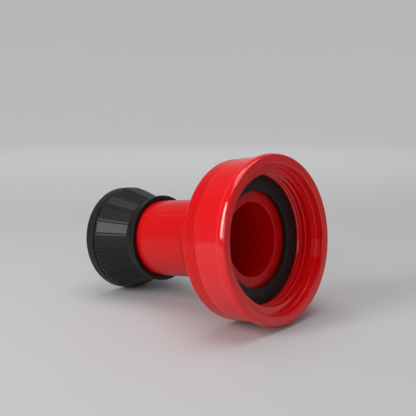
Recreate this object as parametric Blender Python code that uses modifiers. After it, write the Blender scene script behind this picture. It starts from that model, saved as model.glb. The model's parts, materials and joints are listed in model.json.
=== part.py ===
"""Fog nozzle for a fire hose, lying on its side as it would on a bench.

Every turned piece is drawn as an outline of (station, radius) corners.  Stations are distances along the
nozzle's own axis, from the inlet's rim towards the outlet.  The nozzle rests on two circles, so the whole
axis dips towards the outlet by an angle that is worked out from the outlines.
"""

import math

import bmesh
import bpy
from mathutils import Matrix, Vector

MM = 0.001

# Clearances
FACE_GAP = 0.3 * MM          # between faces that touch on the real nozzle
SLIDE_GAP = 0.3 * MM         # tip over barrel, all round
PIN_GAP = 0.2 * MM           # cam pin in its groove, each side
STOP_GAP = 0.4 * MM          # barrel end to the tip's wall when the nozzle is fully open
CUTTER_MARGIN = 1.0 * MM     # how far a cutter runs past the surface it cuts

# Edges
EDGE_BREAK = 0.3 * MM        # sharp edges are broken by this much
EDGE_ROUNDING = 0.5 * MM     # and moulded ones by this

# Inlet coupling
THREAD_MAJOR_RADIUS = 38.95 * MM
THREAD_PITCH = 3.387 * MM
THREAD_HEIGHT = 1.9 * MM
THREAD_LENGTH = 10.3 * MM
THREAD_ROOT = 0.45 * MM      # width of the flat at the bottom of the thread
THREAD_CREST = 0.5 * MM      # width of the flat that is left on its crest
THREAD_RUN_OUT = 0.75        # plain wall behind the thread, as a share of the pitch
THREAD_LEAD_IN = 0.3         # how far ahead of the wall the cut starts, as a share of the pitch
MOUTH_MARGIN = 3.45 * MM     # the plain counterbore is this much larger than the thread
MOUTH_DEPTH = 5.3 * MM
MOUTH_CHAMFER = 0.6 * MM
RIM_WALL = 5.8 * MM
RIM_LENGTH = 4.8 * MM
RIM_ROUNDING = 1.6 * MM
LIP_HEIGHT = 1.3 * MM
LIP_SLOPE = 0.9 * MM         # length of the slope from the lip down to the skirt
LIP_ROUNDING = 1.2 * MM
GASKET_UNDERCUT = 1.65 * MM
GASKET_THICKNESS = 3.7 * MM
GASKET_BORE_RADIUS = 27.9 * MM
GASKET_LEAD_IN = 0.9 * MM    # length of the chamfer that lets it past the thread
BOSS_HEIGHT = 1.6 * MM

# Body: flange, hub and barrel in one moulding
FLANGE_STEP = 0.4 * MM       # the flange is this much smaller than the coupling's skirt
FLANGE_THICKNESS = 9.4 * MM
FLANGE_ROUNDING = 2.5 * MM
FLANGE_CONE = 2.6 * MM       # how far the flange's back rises towards the hub
HUB_LENGTH = 23.0 * MM
HUB_STEP = 0.3 * MM
HUB_ROUNDING = 3.0 * MM
NECK_RADIUS = 23.7 * MM
NECK_WALL = 4.7 * MM
NECK_LENGTH = 60.9 * MM      # from the flange's back to the tip
INLET_TAPER = 2.45 * MM      # the waterway is this much wider at the gasket
TAPER_LENGTH = 40.0 * MM
NECK_GROOVE_WIDTH = 0.8 * MM
NECK_GROOVE_DEPTH = 0.4 * MM

# Tip and its cam
TIP_TRAVEL = 7.0 * MM
TIP_TURN = math.radians(150.0)
TIP_FRONT_WALL = 3.0 * MM
COLLAR_WALL = 3.0 * MM
COLLAR_LENGTH = 1.9 * MM
COLLAR_SLOPE = 2.2 * MM      # length of the slope from the collar down to the waist
WAIST_WALL = 1.2 * MM
WAIST_LENGTH = 3.3 * MM
WAIST_TAPER = 0.5 * MM       # the waist is this much thicker at the foot of that slope
WAIST_ROUNDING = 1.5 * MM
SHOULDER_INSET = 0.1 * MM    # the cone's wide end is this much smaller than the bumper
SHOULDER_LENGTH = 1.8 * MM
SHOULDER_OVERHANG = 1.4 * MM  # shoulder beyond the tip's front wall
SHOULDER_ROUNDING = 1.2 * MM
MOUTH_FLARE = 3.0 * MM       # the tip's mouth is this much wider at its rim
PANEL_COUNT = 20
RIB_ANGLE = math.radians(4.0)
RIB_TURN = math.radians(11.7)  # from straight up to the first rib
RIB_GROOVE_WIDTH = 0.5 * MM
RIB_GROOVE_DEPTH = 0.45 * MM
PIN_SETBACK = 4.9 * MM       # from the tip's back edge to the pins when fully open
PIN_RADIUS = 1.7 * MM
PIN_COUNT = 3
PIN_COVER = 1.0 * MM         # wall left over each pin's blind hole
CAM_DEPTH = 1.6 * MM
WIPER_SETBACK = 0.8 * MM
WIPER_WIDTH = 1.4 * MM
WIPER_HEIGHT = 1.1 * MM
TIP_ENTRY = 0.2 * MM         # the sleeve's bore opens by this much at its back edge
OUTLET_FLARE = 1.4 * MM      # the outlet is this much wider where the water enters it

# Barrel seal
O_RING_SECTION = 0.8 * MM    # radius of the ring's own section
O_RING_SIDES = 8
O_RING_STAND = 0.12 * MM     # how far the ring stands out of the barrel
O_RING_LAND = 1.3 * MM       # barrel left between the cam grooves and the seal
BARREL_LAND = 1.2 * MM       # barrel left in front of the seal

# Spider, stem and baffle
SPIDER_SEAT = 1.3 * MM
SPIDER_LENGTH = 7.7 * MM
SPIDER_RING_WALL = 2.8 * MM
SPIDER_HUB_RADIUS = 7.0 * MM
VANE_COUNT = 3
VANE_THICKNESS = 3.0 * MM
VANE_SETBACK = 0.6 * MM      # the vanes are this much shorter than the ring at each end
LOCK_RING_LENGTH = 2.8 * MM
LOCK_RING_SETBACK = 1.8 * MM
SPANNER_SLOT_COUNT = 2
SPANNER_SLOT_WIDTH = 2.4 * MM
SPANNER_SLOT_DEPTH = 1.0 * MM
STEM_RADIUS = 4.0 * MM
STEM_SHOULDER_RADIUS = 5.5 * MM
STEM_FLANGE_RADIUS = 8.8 * MM
STEM_FLANGE_THICKNESS = 1.2 * MM
STEM_FLARE = 1.8 * MM        # length of the cone behind the flange
STEM_FLARE_ROUNDING = 1.5 * MM
STEM_TAIL = 1.4 * MM
NUT_HEIGHT = 3.5 * MM
NUT_FLATS = 11.0 * MM
WASHER_THICKNESS = 1.0 * MM
WASHER_RADIUS = 7.5 * MM
LOCK_WASHER_THICKNESS = 0.8 * MM
LOCK_WASHER_WALL = 1.2 * MM
LOCK_WASHER_SPLIT = 0.8 * MM
OUTLET_RADIUS = 13.0 * MM
SEAT_WIDTH = 2.2 * MM
SEAL_THICKNESS = 1.5 * MM
BAFFLE_THICKNESS = 2.9 * MM
BAFFLE_OVERHANG = 0.6 * MM   # the baffle covers the seal by this much
BAFFLE_EDGE = 1.2 * MM       # thickness of the baffle at its edge
BAFFLE_SLOPE = 4.2 * MM      # width of the sloping band inside that edge
BAFFLE_CROWN = 0.6 * MM
SCREW_RADIUS = 2.4 * MM
SCREW_HOLE_DEPTH = 8.0 * MM
SCREW_HOLE_SPARE = 2.0 * MM  # depth left below the screw's end
SCREW_HEAD_RADIUS = 4.6 * MM
SCREW_HEAD_HEIGHT = 2.2 * MM
SCREW_HEAD_TAPER = 0.4 * MM
SCREW_HEAD_ROUNDING = 0.9 * MM
SCREW_SOCKET_FLATS = 3.0 * MM
SCREW_SOCKET_DEPTH = 1.3 * MM

# Fog teeth
TOOTH_COUNT = 24
TOOTH_HEIGHT = 3.0 * MM
TOOTH_BASE = 1.2 * MM
TOOTH_SHARE = 0.5            # tooth width as a share of the pitch
FOG_RING_MARGIN = 1.8 * MM   # baffle to teeth
FOG_RING_INSET = 2.6 * MM    # teeth to the wall of the tip's mouth

# Bumper: a rubber ring on the spigot round the tip's mouth
BUMPER_FLARE = 6.1 * MM      # rim radius beyond the tip's collar
BUMPER_OVERHANG = 9.0 * MM   # rim beyond the tip's front wall
BUMPER_WALL = 3.2 * MM
BUMPER_FRONT_WALL = 2.7 * MM
BUMPER_LIP = 1.6 * MM        # how far the front wall folds in over the spigot
BUMPER_LIP_EDGE = 1.2 * MM   # thickness of that wall at its inner edge
BUMPER_MOUTH_STEP = 2.6 * MM  # width of the rim's flat front
RIM_BAND_ROUNDING = 0.6 * MM
RIM_FRONT_ROUNDING = 2.4 * MM
RIM_GROOVE_WIDTH = 0.5 * MM
RIM_GROOVE_DEPTH = 1.4 * MM
LOCK_RIB_WIDTH = 1.6 * MM
LOCK_RIB_DEPTH = 0.8 * MM

# Facets round each piece
COARSE_STEPS = 36
TIP_STEPS = 2 * PANEL_COUNT
INNER_STEPS = 28
FINE_STEPS = 20
CAM_STEPS = 60
PIN_STEPS = 12
ARC_STEPS = 2

# Radii that follow from the sizes above
thread_minor_radius = THREAD_MAJOR_RADIUS - THREAD_HEIGHT
mouth_radius = THREAD_MAJOR_RADIUS + MOUTH_MARGIN
rim_radius = mouth_radius + RIM_WALL
skirt_radius = rim_radius - LIP_HEIGHT
undercut_radius = THREAD_MAJOR_RADIUS + GASKET_UNDERCUT
gasket_radius = undercut_radius - FACE_GAP
flange_radius = skirt_radius - FLANGE_STEP
waterway_radius = NECK_RADIUS - NECK_WALL
inlet_bore_radius = waterway_radius + INLET_TAPER
spider_radius = waterway_radius + SPIDER_SEAT - FACE_GAP
tip_bore_radius = NECK_RADIUS + SLIDE_GAP
collar_radius = tip_bore_radius + COLLAR_WALL
waist_radius = tip_bore_radius + WAIST_WALL
bumper_rim_radius = collar_radius + BUMPER_FLARE
shoulder_radius = bumper_rim_radius - SHOULDER_INSET
bumper_bore_radius = bumper_rim_radius - BUMPER_WALL
spigot_radius = bumper_bore_radius - FACE_GAP
spigot_key_radius = spigot_radius - LOCK_RIB_DEPTH
bumper_lip_radius = spigot_radius - BUMPER_LIP
mouth_floor_radius = bumper_lip_radius - MOUTH_FLARE
seal_radius = OUTLET_RADIUS + SEAT_WIDTH
baffle_radius = seal_radius + BAFFLE_OVERHANG
fog_ring_inner = baffle_radius + FOG_RING_MARGIN
fog_ring_outer = mouth_floor_radius - FOG_RING_INSET
groove_half_width = PIN_RADIUS + PIN_GAP

# Stations that follow from the sizes above
thread_end = MOUTH_DEPTH + THREAD_LENGTH
gasket_front = thread_end + FACE_GAP
gasket_back = gasket_front + GASKET_THICKNESS
seat_station = gasket_back + FACE_GAP
coupling_end = seat_station + BOSS_HEIGHT
flange_front = coupling_end + FACE_GAP
flange_back = flange_front + FLANGE_THICKNESS
hub_end = flange_back + HUB_LENGTH
tip_back = flange_back + NECK_LENGTH
pin_station = tip_back + PIN_SETBACK + TIP_TRAVEL
o_ring_start = pin_station + groove_half_width + O_RING_LAND
o_ring_end = o_ring_start + 2 * O_RING_SECTION + 2 * FACE_GAP
barrel_end = o_ring_end + BARREL_LAND
tip_wall_station = barrel_end + STOP_GAP + TIP_TRAVEL
tip_front = tip_wall_station + TIP_FRONT_WALL
lock_ring_front = barrel_end - LOCK_RING_SETBACK
lock_ring_back = lock_ring_front - LOCK_RING_LENGTH
spider_front = lock_ring_back - FACE_GAP
spider_back = spider_front - SPIDER_LENGTH
washer_back = spider_back - FACE_GAP - WASHER_THICKNESS
stem_lock_back = washer_back - FACE_GAP - LOCK_WASHER_THICKNESS
nut_front = stem_lock_back - FACE_GAP
nut_back = nut_front - NUT_HEIGHT
seal_back = tip_front + FACE_GAP
seal_front = seal_back + SEAL_THICKNESS
baffle_back = seal_front + FACE_GAP
baffle_front = baffle_back + BAFFLE_THICKNESS
baffle_lock_back = baffle_front + FACE_GAP
screw_head_back = baffle_lock_back + LOCK_WASHER_THICKNESS + FACE_GAP
collar_end = tip_back + COLLAR_LENGTH
waist_back = collar_end + COLLAR_SLOPE
waist_front = waist_back + WAIST_LENGTH
shoulder_end = tip_front + SHOULDER_OVERHANG
shoulder_start = shoulder_end - SHOULDER_LENGTH
bumper_back = shoulder_end + FACE_GAP
bumper_end = tip_front + BUMPER_OVERHANG
spigot_end = bumper_end - BUMPER_FRONT_WALL - FACE_GAP
rim_band_start = bumper_back + RIM_GROOVE_WIDTH
lock_rib_middle = (bumper_back + spigot_end) / 2


def reset_scene():
    """Removes what the file holds and makes the two collections."""
    for thing in list(bpy.data.objects):
        bpy.data.objects.remove(thing)
    collections = []
    for name in ("fire_hose_nozzle", "cutters"):
        collection = bpy.data.collections.new(name)
        bpy.context.scene.collection.children.link(collection)
        collections.append(collection)
    return collections


parts, cutters = reset_scene()


def material(name, colour, roughness, metallic=0.0):
    """A plain Principled material in linear colour."""
    made = bpy.data.materials.new(name)
    made.use_nodes = True
    shader = made.node_tree.nodes["Principled BSDF"]
    shader.inputs["Base Color"].default_value = (*colour, 1.0)
    shader.inputs["Roughness"].default_value = roughness
    shader.inputs["Metallic"].default_value = metallic
    return made


RED_PLASTIC = material("red_plastic", (0.68, 0.016, 0.016), 0.22)
BLACK_PLASTIC = material("black_plastic", (0.022, 0.021, 0.021), 0.38)
BLACK_RUBBER = material("black_rubber", (0.014, 0.013, 0.012), 0.62)
BLACK_ACETAL = material("black_acetal", (0.03, 0.03, 0.032), 0.45)
BRASS = material("brass", (0.62, 0.43, 0.16), 0.3, 1.0)
STAINLESS = material("stainless_steel", (0.55, 0.55, 0.53), 0.28, 1.0)


def rounded(corners, closed):
    """The outline's points, with an arc in place of each corner that carries a fillet radius."""
    points = []
    for index, corner in enumerate(corners):
        here = Vector(corner[:2])
        fillet = corner[2] if len(corner) > 2 else 0.0
        if not fillet or (not closed and index in (0, len(corners) - 1)):
            points.append(here)
            continue
        before = Vector(corners[index - 1][:2]) - here
        after = Vector(corners[(index + 1) % len(corners)][:2]) - here
        half = before.angle(after) / 2
        reach = min(fillet / math.tan(half), 0.48 * before.length, 0.48 * after.length)
        radius = reach * math.tan(half)
        inwards = (before.normalized() + after.normalized()).normalized()
        centre = here + inwards * radius / math.sin(half)
        first = here + before.normalized() * reach - centre
        last = here + after.normalized() * reach - centre
        sweep = math.pi - 2 * half
        for step in range(ARC_STEPS + 1):
            share = step / ARC_STEPS
            turned_point = first * math.sin((1 - share) * sweep) + last * math.sin(share * sweep)
            points.append(centre + turned_point / math.sin(sweep))
    return points


def place(name, mesh, look, parent, collection):
    """Links a mesh as one object under its parent empty."""
    thing = bpy.data.objects.new(name, mesh)
    collection.objects.link(thing)
    thing.parent = parent
    if look:
        mesh.materials.append(look)
    if collection is cutters:
        thing.hide_render = True
        thing.display_type = "WIRE"
    return thing


def turned(name, corners, look, parent, steps=COARSE_STEPS, closed=True, collection=None):
    """A turned piece: the outline of (station, radius) corners swept round the parent's Z axis.

    A closed outline makes a ring.  An open one starts and ends on the axis and makes a solid.
    """
    points = [Vector((radius, station)) for station, radius in rounded(corners, closed)]
    pairs = zip(points, points[1:] + points[:1])
    if sum(a.x * b.y - b.x * a.y for a, b in pairs) > 0:
        points.reverse()
    mesh = bpy.data.meshes.new(name)
    edges = [(i, i + 1) for i in range(len(points) - 1)]
    if closed:
        edges.append((len(points) - 1, 0))
    mesh.from_pydata([(p.x, 0.0, p.y) for p in points], edges, [])
    thing = place(name, mesh, look, parent, collection or parts)
    # Half a step of turn lays a flat facet, and not an edge, under the nozzle.
    thing.rotation_euler.z = math.pi / steps
    screw = thing.modifiers.new("turn", "SCREW")
    screw.axis = "Z"
    screw.angle = 2 * math.pi
    screw.steps = steps
    screw.render_steps = steps
    screw.use_merge_vertices = True
    screw.merge_threshold = 0.00001
    screw.use_smooth_shade = True
    return thing


def mesh_object(name, shape, look, parent, collection=None):
    """An object from a bmesh, which is freed."""
    bmesh.ops.recalc_face_normals(shape, faces=shape.faces)
    mesh = bpy.data.meshes.new(name)
    shape.to_mesh(mesh)
    shape.free()
    return place(name, mesh, look, parent, collection or parts)


def add_box(shape, size, matrix):
    """Adds one box of the given size to a bmesh."""
    bmesh.ops.create_cube(shape, size=1.0, matrix=matrix @ Matrix.Diagonal((*size, 1.0)))


def add_rod(shape, radius, length, matrix, segments):
    """Adds one round or many-sided rod, centred on the matrix's origin."""
    bmesh.ops.create_cone(
        shape, cap_ends=True, segments=segments,
        radius1=radius, radius2=radius, depth=length, matrix=matrix,
    )


def boolean(thing, operation, other):
    """Cuts, or joins, another mesh with the exact solver."""
    step = thing.modifiers.new(f"{operation.lower()}_{other.name}", "BOOLEAN")
    step.operation = operation
    step.solver = "EXACT"
    step.object = other


def helical_cutter(name, section, start, lead, first_turn, last_turn, parent, steps):
    """A bar with a flat-ended (offset, radius) section, wound about the axis from one turn to another."""
    shape = bmesh.new()
    count = max(2, round(abs(last_turn - first_turn) / (2 * math.pi) * steps))
    rows = []
    for step in range(count + 1):
        turn = first_turn + (last_turn - first_turn) * step / count
        advance = start + lead * turn / (2 * math.pi)
        rows.append([
            shape.verts.new((radius * math.cos(turn), radius * math.sin(turn), advance + offset))
            for offset, radius in section
        ])
    sides = len(section)
    for row, following in zip(rows, rows[1:]):
        for side in range(sides):
            beside = (side + 1) % sides
            shape.faces.new((row[side], row[beside], following[beside], following[side]))
    shape.faces.new(rows[0])
    shape.faces.new(reversed(rows[-1]))
    return mesh_object(name, shape, None, parent, cutters)


def about_axis(angle):
    return Matrix.Rotation(angle, 4, "Z")


# Outlines of the pieces that the nozzle may rest on

coupling_outline = [
    (0.0, mouth_radius + MOUTH_CHAMFER, EDGE_ROUNDING),
    (0.0, rim_radius, RIM_ROUNDING),
    (RIM_LENGTH, rim_radius, LIP_ROUNDING),
    (RIM_LENGTH + LIP_SLOPE, skirt_radius, LIP_ROUNDING),
    (coupling_end, skirt_radius, EDGE_BREAK),
    (coupling_end, undercut_radius),
    (thread_end, undercut_radius),
    (thread_end, thread_minor_radius),
    (MOUTH_DEPTH, thread_minor_radius, EDGE_BREAK),
    (MOUTH_DEPTH, mouth_radius, EDGE_BREAK),
    (MOUTH_CHAMFER, mouth_radius),
]

body_outline = [
    (seat_station, inlet_bore_radius, EDGE_ROUNDING),
    (seat_station, gasket_radius),
    (flange_front, gasket_radius),
    (flange_front, flange_radius, EDGE_BREAK),
    (flange_back, flange_radius, FLANGE_ROUNDING),
    (flange_back + FLANGE_CONE, NECK_RADIUS + HUB_STEP, HUB_ROUNDING),
    (hub_end, NECK_RADIUS + HUB_STEP, EDGE_BREAK),
    (hub_end, NECK_RADIUS - NECK_GROOVE_DEPTH),
    (hub_end + NECK_GROOVE_WIDTH, NECK_RADIUS - NECK_GROOVE_DEPTH),
    (hub_end + NECK_GROOVE_WIDTH, NECK_RADIUS),
    (o_ring_start, NECK_RADIUS),
    (o_ring_start, NECK_RADIUS - 2 * O_RING_SECTION - FACE_GAP),
    (o_ring_end, NECK_RADIUS - 2 * O_RING_SECTION - FACE_GAP),
    (o_ring_end, NECK_RADIUS),
    (barrel_end, NECK_RADIUS, EDGE_ROUNDING),
    (barrel_end, spider_radius + FACE_GAP),
    (spider_back - FACE_GAP, spider_radius + FACE_GAP),
    (spider_back - FACE_GAP, waterway_radius),
    (seat_station + TAPER_LENGTH, waterway_radius),
]

bumper_outline = [
    (bumper_back, bumper_bore_radius),
    (bumper_back, bumper_rim_radius - RIM_GROOVE_DEPTH),
    (rim_band_start, bumper_rim_radius - RIM_GROOVE_DEPTH),
    (rim_band_start, bumper_rim_radius, RIM_BAND_ROUNDING),
    (bumper_end, bumper_rim_radius, RIM_FRONT_ROUNDING),
    (bumper_end, bumper_rim_radius - BUMPER_MOUTH_STEP, EDGE_BREAK),
    (spigot_end + FACE_GAP + BUMPER_LIP_EDGE, bumper_lip_radius, EDGE_BREAK),
    (spigot_end + FACE_GAP, bumper_lip_radius),
    (spigot_end + FACE_GAP, bumper_bore_radius),
    (lock_rib_middle + LOCK_RIB_WIDTH / 2, bumper_bore_radius),
    (lock_rib_middle + LOCK_RIB_WIDTH / 2, bumper_bore_radius - LOCK_RIB_DEPTH),
    (lock_rib_middle - LOCK_RIB_WIDTH / 2, bumper_bore_radius - LOCK_RIB_DEPTH),
    (lock_rib_middle - LOCK_RIB_WIDTH / 2, bumper_bore_radius),
]


def resting_pose():
    """The dip of the axis, and the place of the rim's centre, with the nozzle on the ground at z = 0.

    Each turned piece touches the ground with the middle of a facet, which is nearer the axis than a corner.
    """
    inlet = [(t, r * math.cos(math.pi / COARSE_STEPS)) for t, r in rounded(coupling_outline, True)]
    inlet += [(t, r * math.cos(math.pi / COARSE_STEPS)) for t, r in rounded(body_outline, True)]
    outlet = [(t, r * math.cos(math.pi / TIP_STEPS)) for t, r in rounded(bumper_outline, True)]
    far_t, far_r = max(outlet, key=lambda point: (point[1], point[0]))
    dip = max(math.atan2(r - far_r, far_t - t) for t, r in inlet if r > far_r)
    every = inlet + outlet
    height = max(t * math.sin(dip) + r * math.cos(dip) for t, r in every)
    low_x = min(-t * math.cos(dip) - r * math.sin(dip) for t, r in every)
    high_x = max(-t * math.cos(dip) + r * math.sin(dip) for t, r in every)
    return dip, Vector((-(low_x + high_x) / 2, 0.0, height))


def axis_frame(name, parent=None):
    """An empty on the nozzle's axis, with +Z towards the outlet."""
    frame = bpy.data.objects.new(name, None)
    parts.objects.link(frame)
    frame.parent = parent
    return frame


dip_angle, rim_centre = resting_pose()
nozzle = axis_frame("nozzle_axis")
nozzle.location = rim_centre
nozzle.rotation_euler.y = -(math.pi / 2 + dip_angle)
sliding = axis_frame("tip_slide_axis", nozzle)
turning = axis_frame("tip_turn_axis", sliding)


def build_coupling():
    coupling = turned("inlet_coupling", coupling_outline, RED_PLASTIC, nozzle)
    half_root = THREAD_ROOT / 2
    half_mouth = (THREAD_PITCH - THREAD_CREST) / 2
    inside = thread_minor_radius - CUTTER_MARGIN / 2
    section = [
        (-half_mouth, inside), (half_mouth, inside),
        (half_root, THREAD_MAJOR_RADIUS), (-half_root, THREAD_MAJOR_RADIUS),
    ]
    turns = THREAD_LENGTH / THREAD_PITCH - THREAD_RUN_OUT + THREAD_LEAD_IN
    start = MOUTH_DEPTH - THREAD_LEAD_IN * THREAD_PITCH
    thread = helical_cutter(
        "thread_cutter", section, start, THREAD_PITCH, 0.0, 2 * math.pi * turns, nozzle, COARSE_STEPS
    )
    boolean(coupling, "DIFFERENCE", thread)


def build_gasket():
    turned("inlet_gasket", [
        (gasket_front, GASKET_BORE_RADIUS, EDGE_ROUNDING),
        (gasket_front, thread_minor_radius - FACE_GAP),
        (gasket_front + GASKET_LEAD_IN, gasket_radius),
        (gasket_back, gasket_radius),
        (gasket_back, GASKET_BORE_RADIUS, EDGE_ROUNDING),
    ], BLACK_RUBBER, nozzle)


def build_body():
    body = turned("nozzle_body", body_outline, RED_PLASTIC, nozzle)
    floor = NECK_RADIUS - CAM_DEPTH
    outside = NECK_RADIUS + CUTTER_MARGIN
    overrun = groove_half_width / floor
    lead = -TIP_TRAVEL / TIP_TURN * 2 * math.pi
    section = [
        (-groove_half_width, floor), (groove_half_width, floor),
        (groove_half_width, outside), (-groove_half_width, outside),
    ]
    for number in range(PIN_COUNT):
        groove = helical_cutter(
            f"cam_cutter_{number + 1}", section, pin_station, lead,
            -overrun, TIP_TURN + overrun, nozzle, CAM_STEPS,
        )
        groove.rotation_euler.z = 2 * math.pi * number / PIN_COUNT
        boolean(body, "DIFFERENCE", groove)


def build_spider():
    spider = turned("spider", [
        (spider_back, spider_radius - SPIDER_RING_WALL, EDGE_ROUNDING),
        (spider_back, spider_radius),
        (spider_front, spider_radius),
        (spider_front, spider_radius - SPIDER_RING_WALL, EDGE_ROUNDING),
    ], BLACK_ACETAL, nozzle, INNER_STEPS)
    hub = turned("spider_hub_shape", [
        (spider_back, 0.0), (spider_back, SPIDER_HUB_RADIUS, EDGE_ROUNDING),
        (spider_front, SPIDER_HUB_RADIUS, EDGE_ROUNDING), (spider_front, 0.0),
    ], None, nozzle, FINE_STEPS, closed=False, collection=cutters)
    vanes = bmesh.new()
    inner = SPIDER_HUB_RADIUS - CUTTER_MARGIN
    outer = spider_radius - SPIDER_RING_WALL + CUTTER_MARGIN
    for number in range(VANE_COUNT):
        middle = Matrix.Translation(((inner + outer) / 2, 0.0, (spider_back + spider_front) / 2))
        size = (outer - inner, VANE_THICKNESS, SPIDER_LENGTH - 2 * VANE_SETBACK)
        add_box(vanes, size, about_axis(2 * math.pi * (number + 0.5) / VANE_COUNT) @ middle)
    boolean(spider, "UNION", mesh_object("vane_shapes", vanes, None, nozzle, cutters))
    boolean(spider, "UNION", hub)
    boolean(spider, "DIFFERENCE", round_cutter("hub_bore", STEM_RADIUS + FACE_GAP, spider_back, spider_front))


def round_cutter(name, radius, start, end):
    """A plain hole along the axis, run past both ends."""
    shape = bmesh.new()
    length = end - start + 2 * CUTTER_MARGIN
    middle = Matrix.Translation((0.0, 0.0, (start + end) / 2))
    add_rod(shape, radius, length, middle @ about_axis(math.pi / FINE_STEPS), FINE_STEPS)
    return mesh_object(name, shape, None, nozzle, cutters)


def ring(name, start, length, inner, outer, look, parent, steps=COARSE_STEPS):
    """A plain flat ring."""
    end = start + length
    corners = [(start, inner), (start, outer), (end, outer), (end, inner)]
    return turned(name, corners, look, parent, steps)


def build_lock_ring():
    """The ring that holds the spider, with slots for a pin spanner."""
    inner = spider_radius - SPIDER_RING_WALL
    lock = ring(
        "spider_lock_ring", lock_ring_back, LOCK_RING_LENGTH, inner, spider_radius, BRASS, nozzle, INNER_STEPS
    )
    slots = bmesh.new()
    size = (SPIDER_RING_WALL + 2 * CUTTER_MARGIN, SPANNER_SLOT_WIDTH, 2 * SPANNER_SLOT_DEPTH)
    middle = Matrix.Translation(((inner + spider_radius) / 2, 0.0, lock_ring_front))
    for number in range(SPANNER_SLOT_COUNT):
        add_box(slots, size, about_axis(2 * math.pi * number / SPANNER_SLOT_COUNT) @ middle)
    boolean(lock, "DIFFERENCE", mesh_object("spanner_slots", slots, None, nozzle, cutters))


def build_stem():
    stem = turned("stem", [
        (nut_back - STEM_TAIL, 0.0),
        (nut_back - STEM_TAIL, STEM_RADIUS, EDGE_ROUNDING),
        (spider_front + FACE_GAP, STEM_RADIUS),
        (spider_front + FACE_GAP, STEM_SHOULDER_RADIUS, EDGE_BREAK),
        (tip_front - STEM_FLANGE_THICKNESS - STEM_FLARE, STEM_SHOULDER_RADIUS, STEM_FLARE_ROUNDING),
        (tip_front - STEM_FLANGE_THICKNESS, STEM_FLANGE_RADIUS),
        (tip_front, STEM_FLANGE_RADIUS),
        (tip_front, STEM_RADIUS),
        (seal_front, STEM_RADIUS),
        (seal_front, 0.0),
    ], BRASS, nozzle, FINE_STEPS, closed=False)
    blind = seal_front - SCREW_HOLE_DEPTH
    hole = round_cutter("stem_screw_hole", SCREW_RADIUS + FACE_GAP, blind + CUTTER_MARGIN, seal_front)
    boolean(stem, "DIFFERENCE", hole)


def split_washer(name, start, bore_radius):
    """A spring lock washer, drawn flat as it lies under load."""
    outer = bore_radius + LOCK_WASHER_WALL
    washer = ring(name, start, LOCK_WASHER_THICKNESS, bore_radius, outer, STAINLESS, nozzle, FINE_STEPS)
    gap = bmesh.new()
    size = (LOCK_WASHER_WALL + 2 * CUTTER_MARGIN, LOCK_WASHER_SPLIT, LOCK_WASHER_THICKNESS + CUTTER_MARGIN)
    middle = Matrix.Translation(((bore_radius + outer) / 2, 0.0, start + LOCK_WASHER_THICKNESS / 2))
    add_box(gap, size, middle)
    boolean(washer, "DIFFERENCE", mesh_object(f"{name}_split", gap, None, nozzle, cutters))


def build_stem_fasteners():
    bore_radius = STEM_RADIUS + FACE_GAP
    ring(
        "stem_washer", washer_back, WASHER_THICKNESS, bore_radius, WASHER_RADIUS, STAINLESS, nozzle, FINE_STEPS
    )
    split_washer("stem_lock_washer", stem_lock_back, bore_radius)
    shape = bmesh.new()
    corner_radius = NUT_FLATS / 2 / math.cos(math.pi / 6)
    middle = Matrix.Translation((0.0, 0.0, (nut_back + nut_front) / 2))
    add_rod(shape, corner_radius, NUT_HEIGHT, middle, 6)
    nut = mesh_object("stem_nut", shape, BRASS, nozzle)
    chamfer = nut.modifiers.new("chamfer", "BEVEL")
    chamfer.width = EDGE_BREAK
    chamfer.segments = 1
    boolean(nut, "DIFFERENCE", round_cutter("nut_bore", bore_radius, nut_back, nut_front))


def build_baffle():
    stem_hole = STEM_RADIUS + FACE_GAP
    screw_hole = SCREW_RADIUS + FACE_GAP
    ring("baffle_seal", seal_back, SEAL_THICKNESS, stem_hole, seal_radius, BLACK_RUBBER, nozzle, INNER_STEPS)
    turned("baffle", [
        (baffle_back, screw_hole),
        (baffle_back, baffle_radius, EDGE_BREAK),
        (baffle_back + BAFFLE_EDGE, baffle_radius, EDGE_BREAK),
        (baffle_front - BAFFLE_CROWN, baffle_radius - BAFFLE_SLOPE, STEM_FLARE_ROUNDING),
        (baffle_front, SCREW_HEAD_RADIUS + BAFFLE_EDGE, EDGE_ROUNDING),
        (baffle_front, screw_hole),
    ], BLACK_ACETAL, nozzle, INNER_STEPS)
    split_washer("baffle_lock_washer", baffle_lock_back, screw_hole)


def build_baffle_screw():
    screw_end = seal_front - SCREW_HOLE_DEPTH + SCREW_HOLE_SPARE
    head_front = screw_head_back + SCREW_HEAD_HEIGHT
    screw = turned("baffle_screw", [
        (screw_end, 0.0),
        (screw_end, SCREW_RADIUS, EDGE_BREAK),
        (screw_head_back, SCREW_RADIUS),
        (screw_head_back, SCREW_HEAD_RADIUS, EDGE_BREAK),
        (head_front, SCREW_HEAD_RADIUS - SCREW_HEAD_TAPER, SCREW_HEAD_ROUNDING),
        (head_front, 0.0),
    ], STAINLESS, nozzle, FINE_STEPS, closed=False)
    socket = bmesh.new()
    socket_radius = SCREW_SOCKET_FLATS / 2 / math.cos(math.pi / 6)
    add_rod(socket, socket_radius, 2 * SCREW_SOCKET_DEPTH, Matrix.Translation((0.0, 0.0, head_front)), 6)
    boolean(screw, "DIFFERENCE", mesh_object("screw_socket", socket, None, nozzle, cutters))


def build_barrel_seal():
    middle = (o_ring_start + o_ring_end) / 2
    centre_radius = NECK_RADIUS + O_RING_STAND - O_RING_SECTION
    angles = [2 * math.pi * step / O_RING_SIDES for step in range(O_RING_SIDES)]
    shape = [
        (middle + O_RING_SECTION * math.cos(angle), centre_radius + O_RING_SECTION * math.sin(angle))
        for angle in angles
    ]
    turned("barrel_o_ring", shape, BLACK_RUBBER, nozzle)


def build_wiper():
    start = tip_back + WIPER_SETBACK + FACE_GAP
    outer = tip_bore_radius + WIPER_HEIGHT
    ring("tip_wiper", start, WIPER_WIDTH, tip_bore_radius, outer, BLACK_RUBBER, sliding)


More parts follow.
